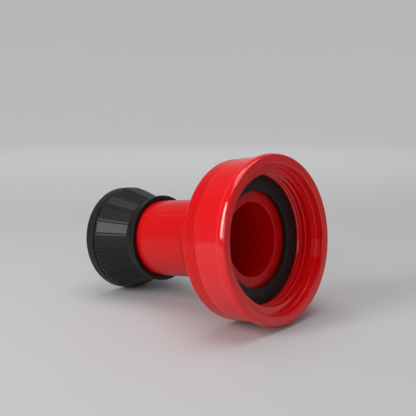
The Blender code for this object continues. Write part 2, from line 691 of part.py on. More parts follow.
def cone_radius(station):
    """The radius of the tip's ribbed cone."""
    rise = (shoulder_radius - waist_radius) / (shoulder_start - waist_front)
    return waist_radius + rise * (station - waist_front)


pin_hole_radius = cone_radius(pin_station) - PIN_COVER


def build_tip():
    """The tip, with a thin rib between two fine grooves beside each panel of its cone."""
    recess_radius = tip_bore_radius + WIPER_HEIGHT + FACE_GAP
    recess_start = tip_back + WIPER_SETBACK
    recess_end = recess_start + WIPER_WIDTH + 2 * FACE_GAP
    key_back = lock_rib_middle - LOCK_RIB_WIDTH / 2 - FACE_GAP
    key_front = lock_rib_middle + LOCK_RIB_WIDTH / 2 + FACE_GAP
    tip = turned("fog_tip", [
        (tip_back, tip_bore_radius + TIP_ENTRY),
        (tip_back, collar_radius, EDGE_ROUNDING),
        (collar_end, collar_radius, EDGE_ROUNDING),
        (waist_back, waist_radius + WAIST_TAPER, WAIST_ROUNDING),
        (waist_front, waist_radius, WAIST_ROUNDING),
        (shoulder_start, shoulder_radius, SHOULDER_ROUNDING),
        (shoulder_end, shoulder_radius, EDGE_BREAK),
        (shoulder_end, spigot_radius),
        (key_back, spigot_radius),
        (key_back, spigot_key_radius),
        (key_front, spigot_key_radius),
        (key_front, spigot_radius),
        (spigot_end, spigot_radius, EDGE_BREAK),
        (spigot_end, bumper_lip_radius),
        (tip_front, mouth_floor_radius),
        (tip_front, OUTLET_RADIUS, EDGE_ROUNDING),
        (tip_wall_station, OUTLET_RADIUS + OUTLET_FLARE, EDGE_ROUNDING),
        (tip_wall_station, tip_bore_radius),
        (recess_end, tip_bore_radius),
        (recess_end, recess_radius),
        (recess_start, recess_radius),
        (recess_start, tip_bore_radius),
    ], BLACK_PLASTIC, turning, TIP_STEPS)
    grooves = bmesh.new()
    slope = math.atan2(shoulder_radius - waist_radius, shoulder_start - waist_front)
    middle_station = (waist_front + shoulder_end) / 2
    outwards = Matrix.Translation(
        (cone_radius(middle_station) + CUTTER_MARGIN / 2, 0.0, middle_station)
    )
    lean = Matrix.Rotation(slope, 4, "Y")
    size = (
        2 * RIB_GROOVE_DEPTH + CUTTER_MARGIN,
        RIB_GROOVE_WIDTH,
        (shoulder_end - waist_front) / math.cos(slope),
    )
    for number in range(PANEL_COUNT):
        for side in (-0.5, 0.5):
            turn = RIB_TURN + 2 * math.pi * number / PANEL_COUNT + side * RIB_ANGLE
            add_box(grooves, size, about_axis(turn) @ outwards @ lean)
    boolean(tip, "DIFFERENCE", mesh_object("rib_grooves", grooves, None, turning, cutters))
    holes = bmesh.new()
    start = tip_bore_radius - CUTTER_MARGIN
    for number in range(PIN_COUNT):
        middle = pin_matrix(number, (start + pin_hole_radius) / 2)
        add_rod(holes, PIN_RADIUS + PIN_GAP, pin_hole_radius - start, middle, FINE_STEPS)
    boolean(tip, "DIFFERENCE", mesh_object("pin_holes", holes, None, turning, cutters))


def pin_matrix(number, radius):
    """A frame on one pin's axis, with +Z outwards."""
    outwards = Matrix.Rotation(math.pi / 2, 4, "Y")
    middle = Matrix.Translation((radius, 0.0, pin_station))
    return about_axis(2 * math.pi * number / PIN_COUNT) @ middle @ outwards


def build_cam_pins():
    """Three dowels in blind holes in the tip's bore, each with its foot in a cam groove."""
    foot = NECK_RADIUS - CAM_DEPTH + FACE_GAP
    length = pin_hole_radius - FACE_GAP - foot
    for number in range(PIN_COUNT):
        pin = turned(f"cam_pin_{number + 1}", [
            (0.0, 0.0), (0.0, PIN_RADIUS, EDGE_BREAK), (length, PIN_RADIUS, EDGE_BREAK), (length, 0.0),
        ], STAINLESS, turning, PIN_STEPS, closed=False)
        pin.matrix_local = pin_matrix(number, foot)


def build_fog_ring():
    start = tip_front + FACE_GAP
    height = TOOTH_BASE + TOOTH_HEIGHT
    teeth = ring("fog_teeth_ring", start, height, fog_ring_inner, fog_ring_outer, BLACK_ACETAL, turning)
    gaps = bmesh.new()
    middle_radius = (fog_ring_inner + fog_ring_outer) / 2
    gap_width = 2 * math.pi * middle_radius / TOOTH_COUNT * (1 - TOOTH_SHARE)
    size = (fog_ring_outer - fog_ring_inner + 2 * CUTTER_MARGIN, gap_width, TOOTH_HEIGHT + CUTTER_MARGIN)
    middle = Matrix.Translation((middle_radius, 0.0, start + TOOTH_BASE + size[2] / 2))
    for number in range(TOOTH_COUNT):
        add_box(gaps, size, about_axis(2 * math.pi * number / TOOTH_COUNT) @ middle)
    boolean(teeth, "DIFFERENCE", mesh_object("tooth_gaps", gaps, None, turning, cutters))


build_coupling()
build_gasket()
build_body()
build_spider()
build_lock_ring()
build_stem()
build_stem_fasteners()
build_baffle()
build_baffle_screw()
build_barrel_seal()
build_wiper()
build_tip()
build_cam_pins()
build_fog_ring()
turned("bumper", bumper_outline, BLACK_RUBBER, turning, TIP_STEPS)
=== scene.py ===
"""Fire hose nozzle: finished surfaces, materials and studio round the packed frame.

Each turned piece is an outline of (station, radius) corners swept round the nozzle's own axis.  Stations are
distances along that axis from the inlet's rim towards the outlet, and come from the packed nodes.
"""

import json
import math

import bmesh
import bpy
import numpy as np
from bpy.props import FloatProperty, FloatVectorProperty, IntProperty, PointerProperty
from mathutils import Matrix, Vector


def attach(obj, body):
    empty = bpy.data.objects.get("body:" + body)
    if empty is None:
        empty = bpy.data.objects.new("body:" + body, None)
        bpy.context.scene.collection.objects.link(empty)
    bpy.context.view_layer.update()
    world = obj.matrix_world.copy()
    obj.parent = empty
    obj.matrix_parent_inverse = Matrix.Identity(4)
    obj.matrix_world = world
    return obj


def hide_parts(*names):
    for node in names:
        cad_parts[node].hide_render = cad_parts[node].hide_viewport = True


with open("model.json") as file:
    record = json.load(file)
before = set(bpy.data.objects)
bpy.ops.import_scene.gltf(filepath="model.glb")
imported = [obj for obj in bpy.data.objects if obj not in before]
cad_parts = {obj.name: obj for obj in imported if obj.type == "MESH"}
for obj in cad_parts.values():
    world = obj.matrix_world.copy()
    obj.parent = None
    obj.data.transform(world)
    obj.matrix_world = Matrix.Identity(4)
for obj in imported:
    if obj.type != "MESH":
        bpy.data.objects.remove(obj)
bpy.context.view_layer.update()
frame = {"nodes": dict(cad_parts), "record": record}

bl_info = {
    "name": "Fire hose nozzle",
    "version": (1, 0, 0),
    "blender": (4, 5, 0),
    "location": "View3D > Sidebar > Nozzle",
    "description": "Builds the surfaces, materials and studio of a fire hose nozzle with a turning fog tip",
    "category": "Object",
}

MM = 0.001
FULL_TURN = 2 * math.pi
ARC_STEP = math.radians(11)      # largest turn between two points of a rounded corner
SUPPORT = 0.12 * MM              # distance from a rounded corner to the point that keeps the next face flat
WELD = 2e-7                      # points closer than this are one point
SHARP_ANGLE = math.radians(32)
ROUND_SEGMENTS = 288
RING_SEGMENTS = 160
DISC_SEGMENTS = 192
SMALL_SEGMENTS = 120

FACE_GAP = 0.3 * MM              # between faces that touch on the real nozzle
PIN_GAP = 0.2 * MM               # round a cam pin
PIN_COUNT = 3
VANE_COUNT = 3
SLOT_COUNT = 2
HEX_SIDES = 6
HEX_COSINE = math.cos(math.pi / HEX_SIDES)    # a hexagon's flat radius as a share of its corner radius


# Measures of the packed frame

def joint_named(name):
    """The packed record's joint of this name."""
    return next(joint for joint in frame["record"]["behaviour"]["joints"] if joint["name"] == name)


turn_joint = joint_named("tip_turn")
axis_direction = Vector(turn_joint["axis"]).normalized()
axis_point = Vector(turn_joint["pos_m"])
sideways = Vector((0.0, 1.0, 0.0))
upwards = sideways.cross(axis_direction)


def stations_and_radii(node):
    """Every vertex of a packed node as a distance along the axis and a distance from it."""
    points = np.array([vertex.co for vertex in frame["nodes"][node].data.vertices])
    offsets = points - np.array(axis_point)
    along = offsets @ np.array(axis_direction)
    across = np.linalg.norm(offsets - np.outer(along, axis_direction), axis=1)
    return along, across


rim_offset = float(stations_and_radii("inlet_coupling")[0].min())
nozzle_frame = Matrix.Translation(axis_point + rim_offset * axis_direction) @ Matrix(
    (upwards, sideways, axis_direction)
).transposed().to_4x4()


class Span:
    """Where a packed node starts and ends along the axis, and its smallest and largest radius."""

    def __init__(self, node):
        along, across = stations_and_radii(node)
        self.start = float(along.min()) - rim_offset
        self.end = float(along.max()) - rim_offset
        self.inner = float(across.min())
        self.outer = float(across.max())


spans = {name: Span(name) for name in frame["nodes"]}
coupling = spans["inlet_coupling"]
gasket = spans["inlet_gasket"]
body = spans["nozzle_body"]
tip = spans["fog_tip"]
bumper = spans["bumper"]
tip_front = spans["baffle_seal"].start - FACE_GAP
neck = spans["tip_wiper"].inner - FACE_GAP
tip_bore = neck + FACE_GAP


def smallest_radius_between(node, first, last):
    """The smallest radius of a node's vertices between two stations."""
    along, across = stations_and_radii(node)
    return float(across[(along - rim_offset > first) & (along - rim_offset < last)].min())


def first_station_beyond(node, radius):
    """The first station at which a node's vertices reach a radius."""
    along, across = stations_and_radii(node)
    return float(along[across > radius].min()) - rim_offset


# Meshes

def rounded(corners, closed):
    """The outline's points, with an arc at each corner that carries a fillet and a point beside each arc."""
    points = []
    for index, corner in enumerate(corners):
        here = Vector(corner[:2])
        fillet = corner[2] if len(corner) > 2 else 0.0
        if not fillet or (not closed and index in (0, len(corners) - 1)):
            points.append(here)
            continue
        before = Vector(corners[index - 1][:2]) - here
        after = Vector(corners[(index + 1) % len(corners)][:2]) - here
        half = before.angle(after) / 2
        reach = min(fillet / math.tan(half), 0.45 * before.length, 0.45 * after.length)
        radius = reach * math.tan(half)
        inwards = (before.normalized() + after.normalized()).normalized()
        centre = here + inwards * radius / math.sin(half)
        first = here + before.normalized() * reach - centre
        last = here + after.normalized() * reach - centre
        sweep = math.pi - 2 * half
        count = max(2, math.ceil(sweep / ARC_STEP))
        if before.length > 2 * (reach + SUPPORT):
            points.append(here + before.normalized() * (reach + SUPPORT))
        for step in range(count + 1):
            share = step / count
            turned_point = first * math.sin((1 - share) * sweep) + last * math.sin(share * sweep)
            points.append(centre + turned_point / math.sin(sweep))
        if after.length > 2 * (reach + SUPPORT):
            points.append(here + after.normalized() * (reach + SUPPORT))
    return points


def ring_of(station, radius, angles):
    """One row of points round the axis; station and radius may vary with the angle."""
    station = np.broadcast_to(station, angles.shape)
    radius = np.broadcast_to(radius, angles.shape)
    return np.stack([radius * np.cos(angles), radius * np.sin(angles), station], axis=1)


def swept_faces(rows, closed):
    """The points of a list of rows, and the faces between each row and the next.

    A row of one point is a pole on the axis.
    """
    starts = np.cumsum([0] + [len(row) for row in rows])
    faces = []
    pairs = list(zip(range(len(rows)), range(1, len(rows))))
    if closed:
        pairs.append((len(rows) - 1, 0))
    for low, high in pairs:
        count = max(len(rows[low]), len(rows[high]))
        for side in range(count):
            beside = (side + 1) % count
            corners = []
            for row, place in ((low, side), (low, beside), (high, beside), (high, side)):
                corner = int(starts[row]) + (place if len(rows[row]) > 1 else 0)
                if corner not in corners:
                    corners.append(corner)
            faces.append(corners)
    return np.concatenate(rows), faces


def evenly(segments):
    """Angles evenly spaced round the axis."""
    return np.arange(segments) * FULL_TURN / segments


def turned_rows(corners, angles, closed=True):
    """Rows of points for an outline of (station, radius, fillet) corners."""
    rows = []
    for station, radius in rounded(corners, closed):
        if radius < WELD:
            rows.append(np.array([[0.0, 0.0, station]]))
        else:
            rows.append(ring_of(station, radius, angles))
    return rows


def make_piece(name, points, faces, look, weld=False):
    """A mesh object from points in the nozzle's own frame, which are moved to the room's."""
    mesh = bpy.data.meshes.new(name)
    mesh.from_pydata([tuple(point) for point in points], [], faces)
    shape = bmesh.new()
    shape.from_mesh(mesh)
    if weld:
        bmesh.ops.remove_doubles(shape, verts=shape.verts, dist=WELD)
        bmesh.ops.dissolve_degenerate(shape, edges=shape.edges, dist=WELD)
    bmesh.ops.recalc_face_normals(shape, faces=shape.faces)
    shape.to_mesh(mesh)
    shape.free()
    mesh.transform(nozzle_frame)
    piece = bpy.data.objects.new(name, mesh)
    bpy.context.scene.collection.objects.link(piece)
    if look:
        mesh.materials.append(look)
    return piece


def turned_piece(name, corners, look, segments=ROUND_SEGMENTS, closed=True):
    """A turned piece of an even outline."""
    points, faces = swept_faces(turned_rows(corners, evenly(segments), closed), closed)
    return make_piece(name, points, faces, look)


def block_cutter(name, matrices, size):
    """Boxes of one size, each placed by a matrix in the nozzle's frame."""
    shape = bmesh.new()
    for matrix in matrices:
        bmesh.ops.create_cube(shape, size=1.0, matrix=matrix @ Matrix.Diagonal((*size, 1.0)))
    return cutter_from(name, shape)


def rod_cutter(name, matrices, radius, length, sides):
    """Rods of one size, each placed by a matrix in the nozzle's frame."""
    shape = bmesh.new()
    for matrix in matrices:
        bmesh.ops.create_cone(
            shape, cap_ends=True, segments=sides, radius1=radius, radius2=radius, depth=length, matrix=matrix
        )
    return cutter_from(name, shape)


def cutter_from(name, shape):
    """A cutter object from a bmesh in the nozzle's frame."""
    bmesh.ops.recalc_face_normals(shape, faces=shape.faces)
    mesh = bpy.data.meshes.new(name)
    shape.to_mesh(mesh)
    shape.free()
    mesh.transform(nozzle_frame)
    cutter = bpy.data.objects.new(name, mesh)
    bpy.context.scene.collection.objects.link(cutter)
    return cutter


def combine(piece, operation, other):
    """Cuts or joins with the exact solver, writes the result to the mesh and removes the other shape."""
    step = piece.modifiers.new(operation.lower(), "BOOLEAN")
    step.operation = operation
    step.solver = "EXACT"
    step.object = other
    write_modifiers(piece)
    bpy.data.objects.remove(other)


def write_modifiers(piece):
    """Replaces a piece's mesh with what its modifiers make of it."""
    bpy.context.view_layer.update()
    graph = bpy.context.evaluated_depsgraph_get()
    result = bpy.data.meshes.new_from_object(piece.evaluated_get(graph))
    before = piece.data
    piece.modifiers.clear()
    piece.data = result
    bpy.data.meshes.remove(before)
    result.name = piece.name


def bevel(piece, width, segments=2):
    """Rounds every hard edge of a piece."""
    step = piece.modifiers.new("edges", "BEVEL")
    step.width = width
    step.segments = segments
    step.limit_method = "ANGLE"
    step.angle_limit = SHARP_ANGLE
    write_modifiers(piece)


def finish_piece(piece, body_name, slot_name, *nodes):
    """Shades a piece, hangs it on its body and hides the packed nodes it stands for."""
    piece.data.shade_smooth()
    piece.data.set_sharp_from_angle(angle=SHARP_ANGLE)
    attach(piece, body_name)
    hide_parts(*nodes)
    return piece


def about_axis(angle):
    """A turn about the nozzle's axis."""
    return Matrix.Rotation(angle, 4, "Z")


# Shader node groups that several materials share

def new_group(name, inputs, outputs):
    """An empty group with its named sockets, and its input and output nodes."""
    tree = bpy.data.node_groups.new(name, "ShaderNodeTree")
    for label, kind, value in inputs:
        socket = tree.interface.new_socket(label, in_out="INPUT", socket_type=kind)
        if value is not None:
            socket.default_value = value
    for label, kind in outputs:
        tree.interface.new_socket(label, in_out="OUTPUT", socket_type=kind)
    return tree, tree.nodes.new("NodeGroupInput"), tree.nodes.new("NodeGroupOutput")


def noise_node(tree, vector, scale, detail=2.0, roughness=0.5):
    """A noise texture fed by a vector; the scale is a number or a socket."""
    node = tree.nodes.new("ShaderNodeTexNoise")
    node.inputs["Detail"].default_value = detail
    node.inputs["Roughness"].default_value = roughness
    tree.links.new(vector, node.inputs["Vector"])
    feed(tree, scale, node.inputs["Scale"])
    return node.outputs["Fac"]


def feed(tree, value, socket):
    """Sets a socket to a number or links another socket to it."""
    if isinstance(value, bpy.types.NodeSocket):
        tree.links.new(value, socket)
    else:
        socket.default_value = value


def math_node(tree, operation, *values, clamp=False):
    """A sum or other operation on numbers or sockets."""
    node = tree.nodes.new("ShaderNodeMath")
    node.operation = operation
    node.use_clamp = clamp
    for value, socket in zip(values, node.inputs):
        feed(tree, value, socket)
    return node.outputs[0]


def range_node(tree, value, from_low, from_high, to_low, to_high):
    """Maps a value from one range to another, smoothly and clamped."""
    node = tree.nodes.new("ShaderNodeMapRange")
    node.interpolation_type = "SMOOTHSTEP"
    for socket, number in zip(node.inputs, (value, from_low, from_high, to_low, to_high)):
        feed(tree, number, socket)
    return node.outputs[0]


def mix_colour(tree, factor, first, second):
    """Blends two colours by a factor."""
    node = tree.nodes.new("ShaderNodeMix")
    node.data_type = "RGBA"
    first_socket, second_socket = [socket for socket in node.inputs if socket.type == "RGBA"]
    feed(tree, factor, node.inputs["Factor"])
    feed(tree, first, first_socket)
    feed(tree, second, second_socket)
    return next(socket for socket in node.outputs if socket.type == "RGBA")


def moulded_group():
    """Even plastic or rubber: slow colour drift, fine moulded grain and a gloss that varies a little."""
    tree, start, end = new_group(
        "Moulded surface",
        [
            ("Vector", "NodeSocketVector", None),
            ("Colour", "NodeSocketColor", (0.5, 0.5, 0.5, 1.0)),
            ("Variation", "NodeSocketFloat", 0.1),
            ("Roughness", "NodeSocketFloat", 0.3),
            ("Roughness Spread", "NodeSocketFloat", 0.05),
            ("Grain Scale", "NodeSocketFloat", 2000.0),
            ("Grain Height", "NodeSocketFloat", 0.2),
            ("Ripple Height", "NodeSocketFloat", 0.5),
        ],
        [("Colour", "NodeSocketColor"), ("Roughness", "NodeSocketFloat"), ("Height", "NodeSocketFloat")],
    )
    vector = start.outputs["Vector"]
    drift = noise_node(tree, vector, 38.0, 3.0, 0.6)
    patches = range_node(tree, drift, 0.3, 0.7, 0.0, 1.0)
    darker = math_node(tree, "MULTIPLY", start.outputs["Variation"], patches)
    shade = mix_colour(tree, darker, start.outputs["Colour"], (0.0, 0.0, 0.0, 1.0))
    grain = noise_node(tree, vector, start.outputs["Grain Scale"], 2.0, 0.6)
    ripple = noise_node(tree, vector, 210.0, 1.0)
    gloss_drift = noise_node(tree, vector, 120.0, 4.0, 0.65)
    centred = math_node(tree, "SUBTRACT", gloss_drift, 0.5)
    spread = math_node(tree, "MULTIPLY", centred, start.outputs["Roughness Spread"])
    drifted = math_node(tree, "MULTIPLY", spread, 2.0)
    gloss = math_node(tree, "ADD", start.outputs["Roughness"], drifted, clamp=True)
    height = math_node(
        tree, "ADD",
        math_node(tree, "MULTIPLY", grain, start.outputs["Grain Height"]),
        math_node(tree, "MULTIPLY", ripple, start.outputs["Ripple Height"]),
    )
    tree.links.new(shade, end.inputs["Colour"])
    tree.links.new(gloss, end.inputs["Roughness"])
    tree.links.new(height, end.inputs["Height"])
    return tree


def wear_group():
    """Light rubbing along outer edges and sparse hairline scratches, as a colour and a mask."""
    tree, start, end = new_group(
        "Handling wear",
        [
            ("Vector", "NodeSocketVector", None),
            ("Colour", "NodeSocketColor", (0.5, 0.5, 0.5, 1.0)),
            ("Worn Colour", "NodeSocketColor", (0.6, 0.6, 0.6, 1.0)),
            ("Edge Amount", "NodeSocketFloat", 0.3),
            ("Scratch Amount", "NodeSocketFloat", 0.2),
            ("Scratch Scale", "NodeSocketFloat", 60.0),
        ],
        [("Colour", "NodeSocketColor"), ("Mask", "NodeSocketFloat")],
    )
    vector = start.outputs["Vector"]
    pointiness = tree.nodes.new("ShaderNodeNewGeometry").outputs["Pointiness"]
    breaks = range_node(tree, noise_node(tree, vector, 320.0, 4.0, 0.7), 0.42, 0.66, 0.0, 1.0)
    edge = math_node(tree, "MULTIPLY", range_node(tree, pointiness, 0.52, 0.58, 0.0, 1.0), breaks)
    edge = math_node(tree, "MULTIPLY", edge, start.outputs["Edge Amount"])
    warp = noise_node(tree, vector, start.outputs["Scratch Scale"], 3.0, 0.45)
    line = math_node(tree, "ABSOLUTE", math_node(tree, "SUBTRACT", warp, 0.5))
    line = range_node(tree, line, 0.0, 0.0022, 1.0, 0.0)
    patch = range_node(tree, noise_node(tree, vector, 95.0, 1.0), 0.56, 0.68, 0.0, 1.0)
    broken = math_node(tree, "MULTIPLY", line, patch)
    scratch = math_node(tree, "MULTIPLY", broken, start.outputs["Scratch Amount"])
    mask = math_node(tree, "MAXIMUM", edge, scratch, clamp=True)
    worn = mix_colour(tree, mask, start.outputs["Colour"], start.outputs["Worn Colour"])
    tree.links.new(worn, end.inputs["Colour"])
    tree.links.new(mask, end.inputs["Mask"])
    return tree


def dust_group():
    """A thin film of pale dust that settles on faces that look up."""
    tree, start, end = new_group(
        "Settled dust",
        [
            ("Vector", "NodeSocketVector", None),
            ("Colour", "NodeSocketColor", (0.5, 0.5, 0.5, 1.0)),
            ("Dust Colour", "NodeSocketColor", (0.55, 0.53, 0.5, 1.0)),
            ("Amount", "NodeSocketFloat", 0.1),
        ],
        [("Colour", "NodeSocketColor"), ("Mask", "NodeSocketFloat")],
    )
    vector = start.outputs["Vector"]
    facing = tree.nodes.new("ShaderNodeSeparateXYZ")
    tree.links.new(tree.nodes.new("ShaderNodeNewGeometry").outputs["Normal"], facing.inputs[0])
    upward = range_node(tree, facing.outputs["Z"], 0.0, 1.0, 0.15, 1.0)
    specks = range_node(tree, noise_node(tree, vector, 900.0, 5.0, 0.75), 0.5, 0.78, 0.0, 1.0)
    settled = math_node(tree, "MULTIPLY", specks, upward)
    mask = math_node(tree, "MULTIPLY", settled, start.outputs["Amount"], clamp=True)
    dusty = mix_colour(tree, mask, start.outputs["Colour"], start.outputs["Dust Colour"])
    tree.links.new(dusty, end.inputs["Colour"])
    tree.links.new(mask, end.inputs["Mask"])
    return tree


def turned_metal_group():
    """Metal off a lathe: fine rings about the nozzle's axis and a slow tarnish."""
    tree, start, end = new_group(
        "Turned metal",
        [
            ("Vector", "NodeSocketVector", None),
            ("Colour", "NodeSocketColor", (0.5, 0.5, 0.5, 1.0)),
            ("Tarnish Colour", "NodeSocketColor", (0.2, 0.2, 0.2, 1.0)),
            ("Tarnish", "NodeSocketFloat", 0.2),
            ("Roughness", "NodeSocketFloat", 0.25),
            ("Ring Scale", "NodeSocketFloat", 9000.0),
        ],
        [("Colour", "NodeSocketColor"), ("Roughness", "NodeSocketFloat"), ("Height", "NodeSocketFloat")],
    )
    split = tree.nodes.new("ShaderNodeSeparateXYZ")
    tree.links.new(start.outputs["Vector"], split.inputs[0])
    squares = [math_node(tree, "MULTIPLY", split.outputs[letter], split.outputs[letter]) for letter in "XY"]
    radius = math_node(tree, "SQRT", math_node(tree, "ADD", *squares))
    rings = tree.nodes.new("ShaderNodeCombineXYZ")
    tree.links.new(radius, rings.inputs["X"])
    tree.links.new(split.outputs["Z"], rings.inputs["Y"])
    marks = noise_node(tree, rings.outputs[0], start.outputs["Ring Scale"], 1.0)
    stain = range_node(tree, noise_node(tree, start.outputs["Vector"], 260.0, 4.0, 0.6), 0.4, 0.75, 0.0, 1.0)
    stain = math_node(tree, "MULTIPLY", stain, start.outputs["Tarnish"])
    gloss = math_node(
        tree, "ADD", start.outputs["Roughness"],
        math_node(tree, "MULTIPLY", math_node(tree, "ADD", marks, stain), 0.12), clamp=True,
    )
    tarnished = mix_colour(tree, stain, start.outputs["Colour"], start.outputs["Tarnish Colour"])
    tree.links.new(tarnished, end.inputs["Colour"])
    tree.links.new(gloss, end.inputs["Roughness"])
    tree.links.new(marks, end.inputs["Height"])
    return tree


groups = {}


def shared_group(name, build):
    """A node group, built once."""
    if name not in groups:
        groups[name] = build()
    return groups[name]


def place_group(tree, group, vector, values):
    """Puts a shared group in a material with its own values, each a number, a colour or a socket."""
    node = tree.nodes.new("ShaderNodeGroup")
    node.node_tree = group
    tree.links.new(vector, node.inputs["Vector"])
    for label, value in values.items():
        feed(tree, value, node.inputs[label])
    return node


def start_material(name):
    """A material with its Principled shader and the piece's own coordinates."""
    look = bpy.data.materials.new(name)
    look.use_nodes = True
    tree = look.node_tree
    shader = tree.nodes["Principled BSDF"]
    vector = tree.nodes.new("ShaderNodeTexCoord").outputs["Object"]
    return look, tree, shader, vector


def bump_from(tree, height, strength, distance, shader):
    """Tilts the shader's normal by a height."""
    bump = tree.nodes.new("ShaderNodeBump")
    bump.inputs["Strength"].default_value = strength
    bump.inputs["Distance"].default_value = distance
    tree.links.new(height, bump.inputs["Height"])
    tree.links.new(bump.outputs["Normal"], shader.inputs["Normal"])


def moulded_material(colour, settings):
    """Moulded plastic or rubber with its grain, wear and dust."""
    look, tree, shader, vector = start_material(settings["name"])
    shader.inputs["Specular IOR Level"].default_value = settings["level"]
    moulded = place_group(tree, shared_group("moulded", moulded_group), vector, {
        "Colour": (*colour, 1.0),
        "Variation": settings["variation"],
        "Roughness": settings["roughness"],
        "Roughness Spread": settings["spread"],
        "Grain Scale": settings["grain_scale"],
        "Grain Height": settings["grain"],
        "Ripple Height": settings["ripple"],
    })
    wear = place_group(tree, shared_group("wear", wear_group), vector, {
        "Colour": moulded.outputs["Colour"],
        "Worn Colour": (*settings["worn"], 1.0),
        "Edge Amount": settings["edge"],
        "Scratch Amount": settings["scratch"],
        "Scratch Scale": settings["scratch_scale"],
    })
    dust = place_group(tree, shared_group("dust", dust_group), vector, {
        "Colour": wear.outputs["Colour"],
        "Amount": settings["dust"],
    })
    marks = math_node(tree, "ADD", wear.outputs["Mask"], dust.outputs["Mask"])
    rougher = math_node(tree, "MULTIPLY", marks, 0.4)
    gloss = math_node(tree, "ADD", moulded.outputs["Roughness"], rougher, clamp=True)
    tree.links.new(dust.outputs["Colour"], shader.inputs["Base Color"])
    tree.links.new(gloss, shader.inputs["Roughness"])
    bump_from(tree, moulded.outputs["Height"], settings["bump"], settings["bump_distance"], shader)
    return look


def metal_material(name, colour, tarnish_colour, tarnish, roughness):
    """Turned metal with tool rings and a little tarnish."""
    look, tree, shader, vector = start_material(name)
    to_axis = tree.nodes.new("ShaderNodeMapping")
    inverse = nozzle_frame.inverted()
    to_axis.inputs["Location"].default_value = inverse.to_translation()
    to_axis.inputs["Rotation"].default_value = inverse.to_euler()
    tree.links.new(vector, to_axis.inputs["Vector"])
    vector = to_axis.outputs["Vector"]
    metal = place_group(tree, shared_group("metal", turned_metal_group), vector, {
        "Colour": (*colour, 1.0),
        "Tarnish Colour": (*tarnish_colour, 1.0),
        "Tarnish": tarnish,
        "Roughness": roughness,
    })
    shader.inputs["Metallic"].default_value = 1.0
    tree.links.new(metal.outputs["Colour"], shader.inputs["Base Color"])
    tree.links.new(metal.outputs["Roughness"], shader.inputs["Roughness"])
    bump_from(tree, metal.outputs["Height"], 0.35, 0.02 * MM, shader)
    return look


# Each moulded finish: its material's name, the colour property it takes, and its surface
MOULDED_FINISHES = {
    "red_plastic": {
        "name": "glossy_red_plastic", "colour": "red_plastic", "level": 0.65,
        "variation": 0.03, "roughness": 0.10, "spread": 0.02, "grain_scale": 2600.0, "grain": 0.12,
        "ripple": 0.3, "worn": (0.75, 0.12, 0.1), "edge": 0.12, "scratch": 0.08, "scratch_scale": 42.0,
        "dust": 0.02, "bump": 0.10, "bump_distance": 0.25 * MM,
    },
    # Painted shade: the body's red is darker than the coupling's to stand in for the shade on the neck's
    # underside; its satin gloss is the body's own
    "satin_red_with_painted_shade": {
        "name": "satin_red_plastic_painted_shade", "colour": "body_red_with_painted_shade", "level": 0.3,
        "variation": 0.03, "roughness": 0.25, "spread": 0.02, "grain_scale": 2200.0, "grain": 0.2,
        "ripple": 0.3, "worn": (0.75, 0.12, 0.1), "edge": 0.12, "scratch": 0.08, "scratch_scale": 38.0,
        "dust": 0.02, "bump": 0.12, "bump_distance": 0.25 * MM,
    },
    "black_plastic": {
        "name": "satin_black_plastic", "colour": "black_plastic", "level": 0.27,
        "variation": 0.25, "roughness": 0.33, "spread": 0.08, "grain_scale": 4200.0, "grain": 0.5,
        "ripple": 0.4, "worn": (0.1, 0.1, 0.1), "edge": 0.35, "scratch": 0.2, "scratch_scale": 48.0,
        "dust": 0.02, "bump": 0.18, "bump_distance": 0.1 * MM,
    },
    "bumper_rubber": {
        "name": "satin_bumper_rubber", "colour": "bumper_rubber", "level": 0.27,
        "variation": 0.25, "roughness": 0.45, "spread": 0.09, "grain_scale": 5200.0, "grain": 0.7,
        "ripple": 0.5, "worn": (0.09, 0.09, 0.09), "edge": 0.35, "scratch": 0.2, "scratch_scale": 52.0,
        "dust": 0.03, "bump": 0.22, "bump_distance": 0.1 * MM,
    },
    "seal_rubber": {
        "name": "matt_seal_rubber", "colour": "seal_rubber", "level": 0.5,
        "variation": 0.3, "roughness": 0.55, "spread": 0.1, "grain_scale": 3600.0, "grain": 0.9,
        "ripple": 0.5, "worn": (0.06, 0.055, 0.05), "edge": 0.3, "scratch": 0.15, "scratch_scale": 60.0,
        "dust": 0.1, "bump": 0.3, "bump_distance": 0.12 * MM,
    },
    "black_acetal": {
        "name": "matt_black_acetal", "colour": "black_acetal", "level": 0.5,
        "variation": 0.2, "roughness": 0.4, "spread": 0.08, "grain_scale": 3800.0, "grain": 0.5,
        "ripple": 0.3, "worn": (0.12, 0.12, 0.12), "edge": 0.4, "scratch": 0.25, "scratch_scale": 66.0,
        "dust": 0.06, "bump": 0.15, "bump_distance": 0.08 * MM,
    },
}
# Each metal finish: its material's name, tarnish colour, tarnish and roughness
METAL_FINISHES = {
    "brass": ("turned_brass", (0.32, 0.2, 0.08), 0.45, 0.24),
    "stainless_steel": ("stainless_steel", (0.35, 0.34, 0.32), 0.25, 0.2),
}
looks = {}


def look_named(finish):
    """The material for one of the nozzle's finishes, made the first time it is asked for."""
    if finish not in looks:
        colours = bpy.context.scene.nozzle_finishes
        if finish in METAL_FINISHES:
            name, *surface = METAL_FINISHES[finish]
            looks[finish] = metal_material(name, getattr(colours, finish), *surface)
        else:
            settings = MOULDED_FINISHES[finish]
            looks[finish] = moulded_material(getattr(colours, settings["colour"]), settings)
    return looks[finish]


# Settings that a user would change

def length(name, description, default):
    """A property in metres."""
    return FloatProperty(
        name=name, description=description, default=default, subtype="DISTANCE", unit="LENGTH"
    )


def colour(name, description, default):
    """A property that holds a linear colour."""
    return FloatVectorProperty(
        name=name, description=description, default=default, subtype="COLOR", min=0.0, max=1.0
    )


def angle(name, description, degrees):
    """A property that holds an angle, whose default is given in degrees."""
    return FloatProperty(name=name, description=description, default=math.radians(degrees), subtype="ANGLE")


def power(name, description, watts):
    """A property that holds a lamp's power."""
    return FloatProperty(name=name, description=description, default=watts, subtype="POWER")


